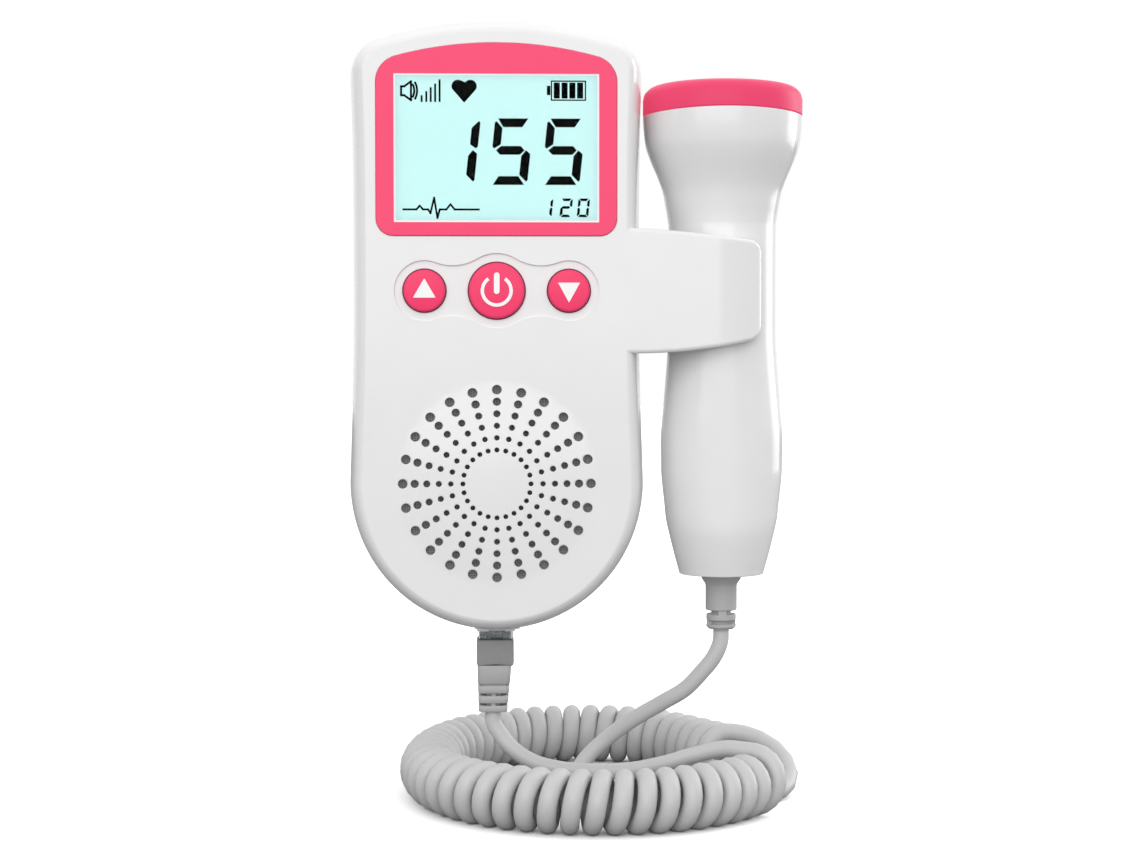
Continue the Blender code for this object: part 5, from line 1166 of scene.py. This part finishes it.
for name, x, foot, way in (("battery_spring_1", -CELL_X, -84.2, 1),
                           ("battery_spring_2", CELL_X, -29.9, -1)):
    line = []
    for share in [step / SPRING_STEPS for step in range(SPRING_STEPS + 1)]:
        radius = 4.2 - 1.8 * share
        angle = math.tau * SPRING_TURNS * share
        line.append(Vector((x + radius * math.cos(angle), CELL_Y + radius * math.sin(angle),
                            foot + way * (0.3 + 2.9 * share))))
    spring = tube(f"{name}_wire", line, 0.3, 10, SPRING_STEEL)
    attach(spring, BODY)
    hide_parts(name)


def screw(name, x, z, head, height, head_radius, shank_radius, end):
    """A pan-head screw whose head looks to the back, with a cross recess."""
    front = head + height
    profile = [(0.0, head), (head_radius * 0.75, head), (head_radius, head + 0.35), (head_radius, front),
               (shank_radius, front), (shank_radius, end - 0.6), (shank_radius * 0.4, end), (0.0, end)]
    piece = add_piece(f"{name}_steel", turned(profile, 32, (x, 0.0, z), True), SCREW_STEEL, replaces=(name,))
    arm = head_radius * 0.62
    cut(piece, slab(arm, head - 1.0, head + 0.6, z - 0.2, z + 0.2, x),
        slab(0.2, head - 1.0, head + 0.6, z - arm, z + arm, x))


for number, (x, z) in enumerate(CASE_SCREWS, 1):
    screw(f"case_screw_{number}", x, z, 9.2, 1.504, 1.6, 1.0, 24.0)
for number, x in enumerate((-18.2, 18.2), 1):
    screw(f"board_screw_{number}", x, 23.5, 21.9, 0.8, 1.5, 0.8, 27.6)

# %% [markdown]
# The other solids already have the right shape. They only get the finish of what they
# are made of.
# %% Finishes of the solids that stay
SWITCHES = [f"{key}_switch_{part}" for key, x, radius in KEYS for part in ("housing", "plunger")]
FINISHES = {DISPLAY_FILM: ("lcd_panel",), ZEBRA: ("lcd_connector",),
            WHITE_POLYCARBONATE: ("lcd_backlight", "probe_carrier"),
            GREEN_BOARD: ("main_board", "probe_board"),
            EPOXY: ("main_chip", "amplifier_chip", "crystal_backing"),
            BLACK_NYLON: ("speaker_frame", *SWITCHES),
            FOAM: ("speaker_gasket",), PAPER: ("speaker_cone",), MAGNET_STEEL: ("speaker_magnet",),
            SPRING_STEEL: ("contact_bridge", "contact_positive", "contact_negative"),
            GOLD_CONTACT: ("plug_contact_1", "plug_contact_2", "plug_contact_3", "plug_contact_4"),
            CERAMIC: ("transmit_crystal", "receive_crystal")}
for material, names in FINISHES.items():
    for name in names:
        for slot in nodes[name].material_slots:
            slot.material = material
left = [name for name, node in nodes.items()
        if not node.hide_render and name not in sum(FINISHES.values(), ())]
print("solids without a new finish:", left)

# %% [markdown]
# The setting is a pale floor before a white background, which only the camera and
# the clear pieces see. For the camera the floor counts as brighter than it is, so that
# it comes out white with a faint shadow; its light on the object stays that of grey
# card. The room itself is a soft light from all round, weaker from below and a little
# stronger at the right. What glossy plastic mirrors is dimmer before the object than
# behind it. One large soft light stands before the object, a little to the left and
# above, and a panel behind it at the right gives the probe its bright edge.
# %% Floor, background and lights
FLOOR_Z = -0.14
FLOOR_GREY = "#8E8E8E"
FLOOR_SEEN = [1.5, 1.5, 1.5, 1.0]
floor_bm = bmesh.new()
bmesh.ops.create_grid(floor_bm, x_segments=1, y_segments=1, size=3.0)
floor_mesh = bpy.data.meshes.new("floor")
floor_bm.to_mesh(floor_mesh)
floor_bm.free()
floor = bpy.data.objects.new("floor", floor_mesh)
floor.location = (0.0, 0.0, FLOOR_Z)
bpy.context.scene.collection.objects.link(floor)


def seen_directly(tree):
    """1 where the camera or clear plastic looks, and 0 for all other light."""
    path = add(tree, "ShaderNodeLightPath")
    seen = add(tree, "ShaderNodeMath", {"operation": "MAXIMUM"},
               {0: path.outputs["Is Camera Ray"], 1: path.outputs["Is Transmission Ray"]})
    return seen.outputs["Value"]


def between(tree, share, low, high):
    """From one strength, a number or a socket, to another."""
    mix = add(tree, "ShaderNodeMix", {"data_type": "FLOAT"}, {0: share})
    for index, value in ((2, low), (3, high)):
        if isinstance(value, float):
            mix.inputs[index].default_value = value
        else:
            tree.links.new(value, mix.inputs[index])
    return mix.outputs[0]


def ranged(tree, value, start, end, low, high):
    """A level that goes from low to high while the value goes from start to end."""
    span = {"From Min": start, "From Max": end, "To Min": low, "To Max": high}
    return add(tree, "ShaderNodeMapRange", span, {"Value": value}).outputs["Result"]


card, tree, shader, place = bare("pale_studio_floor", FLOOR_GREY, 0.8, 1.2)
toned(tree, shader.inputs["Base Color"], linear(FLOOR_GREY), FLOOR_SEEN, seen_directly(tree))
floor_mesh.materials.append(card)

world = bpy.data.worlds.new("studio")
world.use_nodes = True
bpy.context.scene.world = world
tree = world.node_tree
background = tree.nodes["Background"]
looks = add(tree, "ShaderNodeTexCoord").outputs["Generated"]
way = add(tree, "ShaderNodeSeparateXYZ", None, {"Vector": looks})
mirrored_room = ranged(tree, way.outputs["Y"], -0.3, 0.2, 0.34, 1.0)
room_light = add(tree, "ShaderNodeMath", {"operation": "MULTIPLY"},
                 {0: ranged(tree, way.outputs["Z"], -0.7, 1.0, 0.45, 0.98),
                  1: ranged(tree, way.outputs["X"], -1.0, 1.0, 0.83, 1.22)})
glossy = add(tree, "ShaderNodeLightPath").outputs["Is Glossy Ray"]
level = between(tree, glossy, room_light.outputs["Value"], mirrored_room)
background.inputs["Color"].default_value = linear("#FFFFFF")
tree.links.new(between(tree, seen_directly(tree), level, 1.0), background.inputs["Strength"])


def soft_light(name, power, width, height, place, target):
    """A rectangular light of so many watts that looks at a point."""
    data = bpy.data.lights.new(name, "AREA")
    data.shape = "RECTANGLE"
    data.size = width
    data.size_y = height
    data.energy = power
    light = bpy.data.objects.new(name, data)
    light.location = place
    light.rotation_euler = (Vector(target) - Vector(place)).to_track_quat("-Z", "Y").to_euler()
    bpy.context.scene.collection.objects.link(light)


soft_light("front softbox", 12.3, 1.9, 1.2, (-0.27, -1.4, 0.525), (0.0, 0.0, 0.3))
soft_light("right panel", 3.1, 0.5, 0.7, (0.9, 0.42, 0.12), (0.05, 0.0, -0.03))
bpy.context.scene.view_settings.view_transform = "Standard"
print(len(bpy.data.lights), "lights")
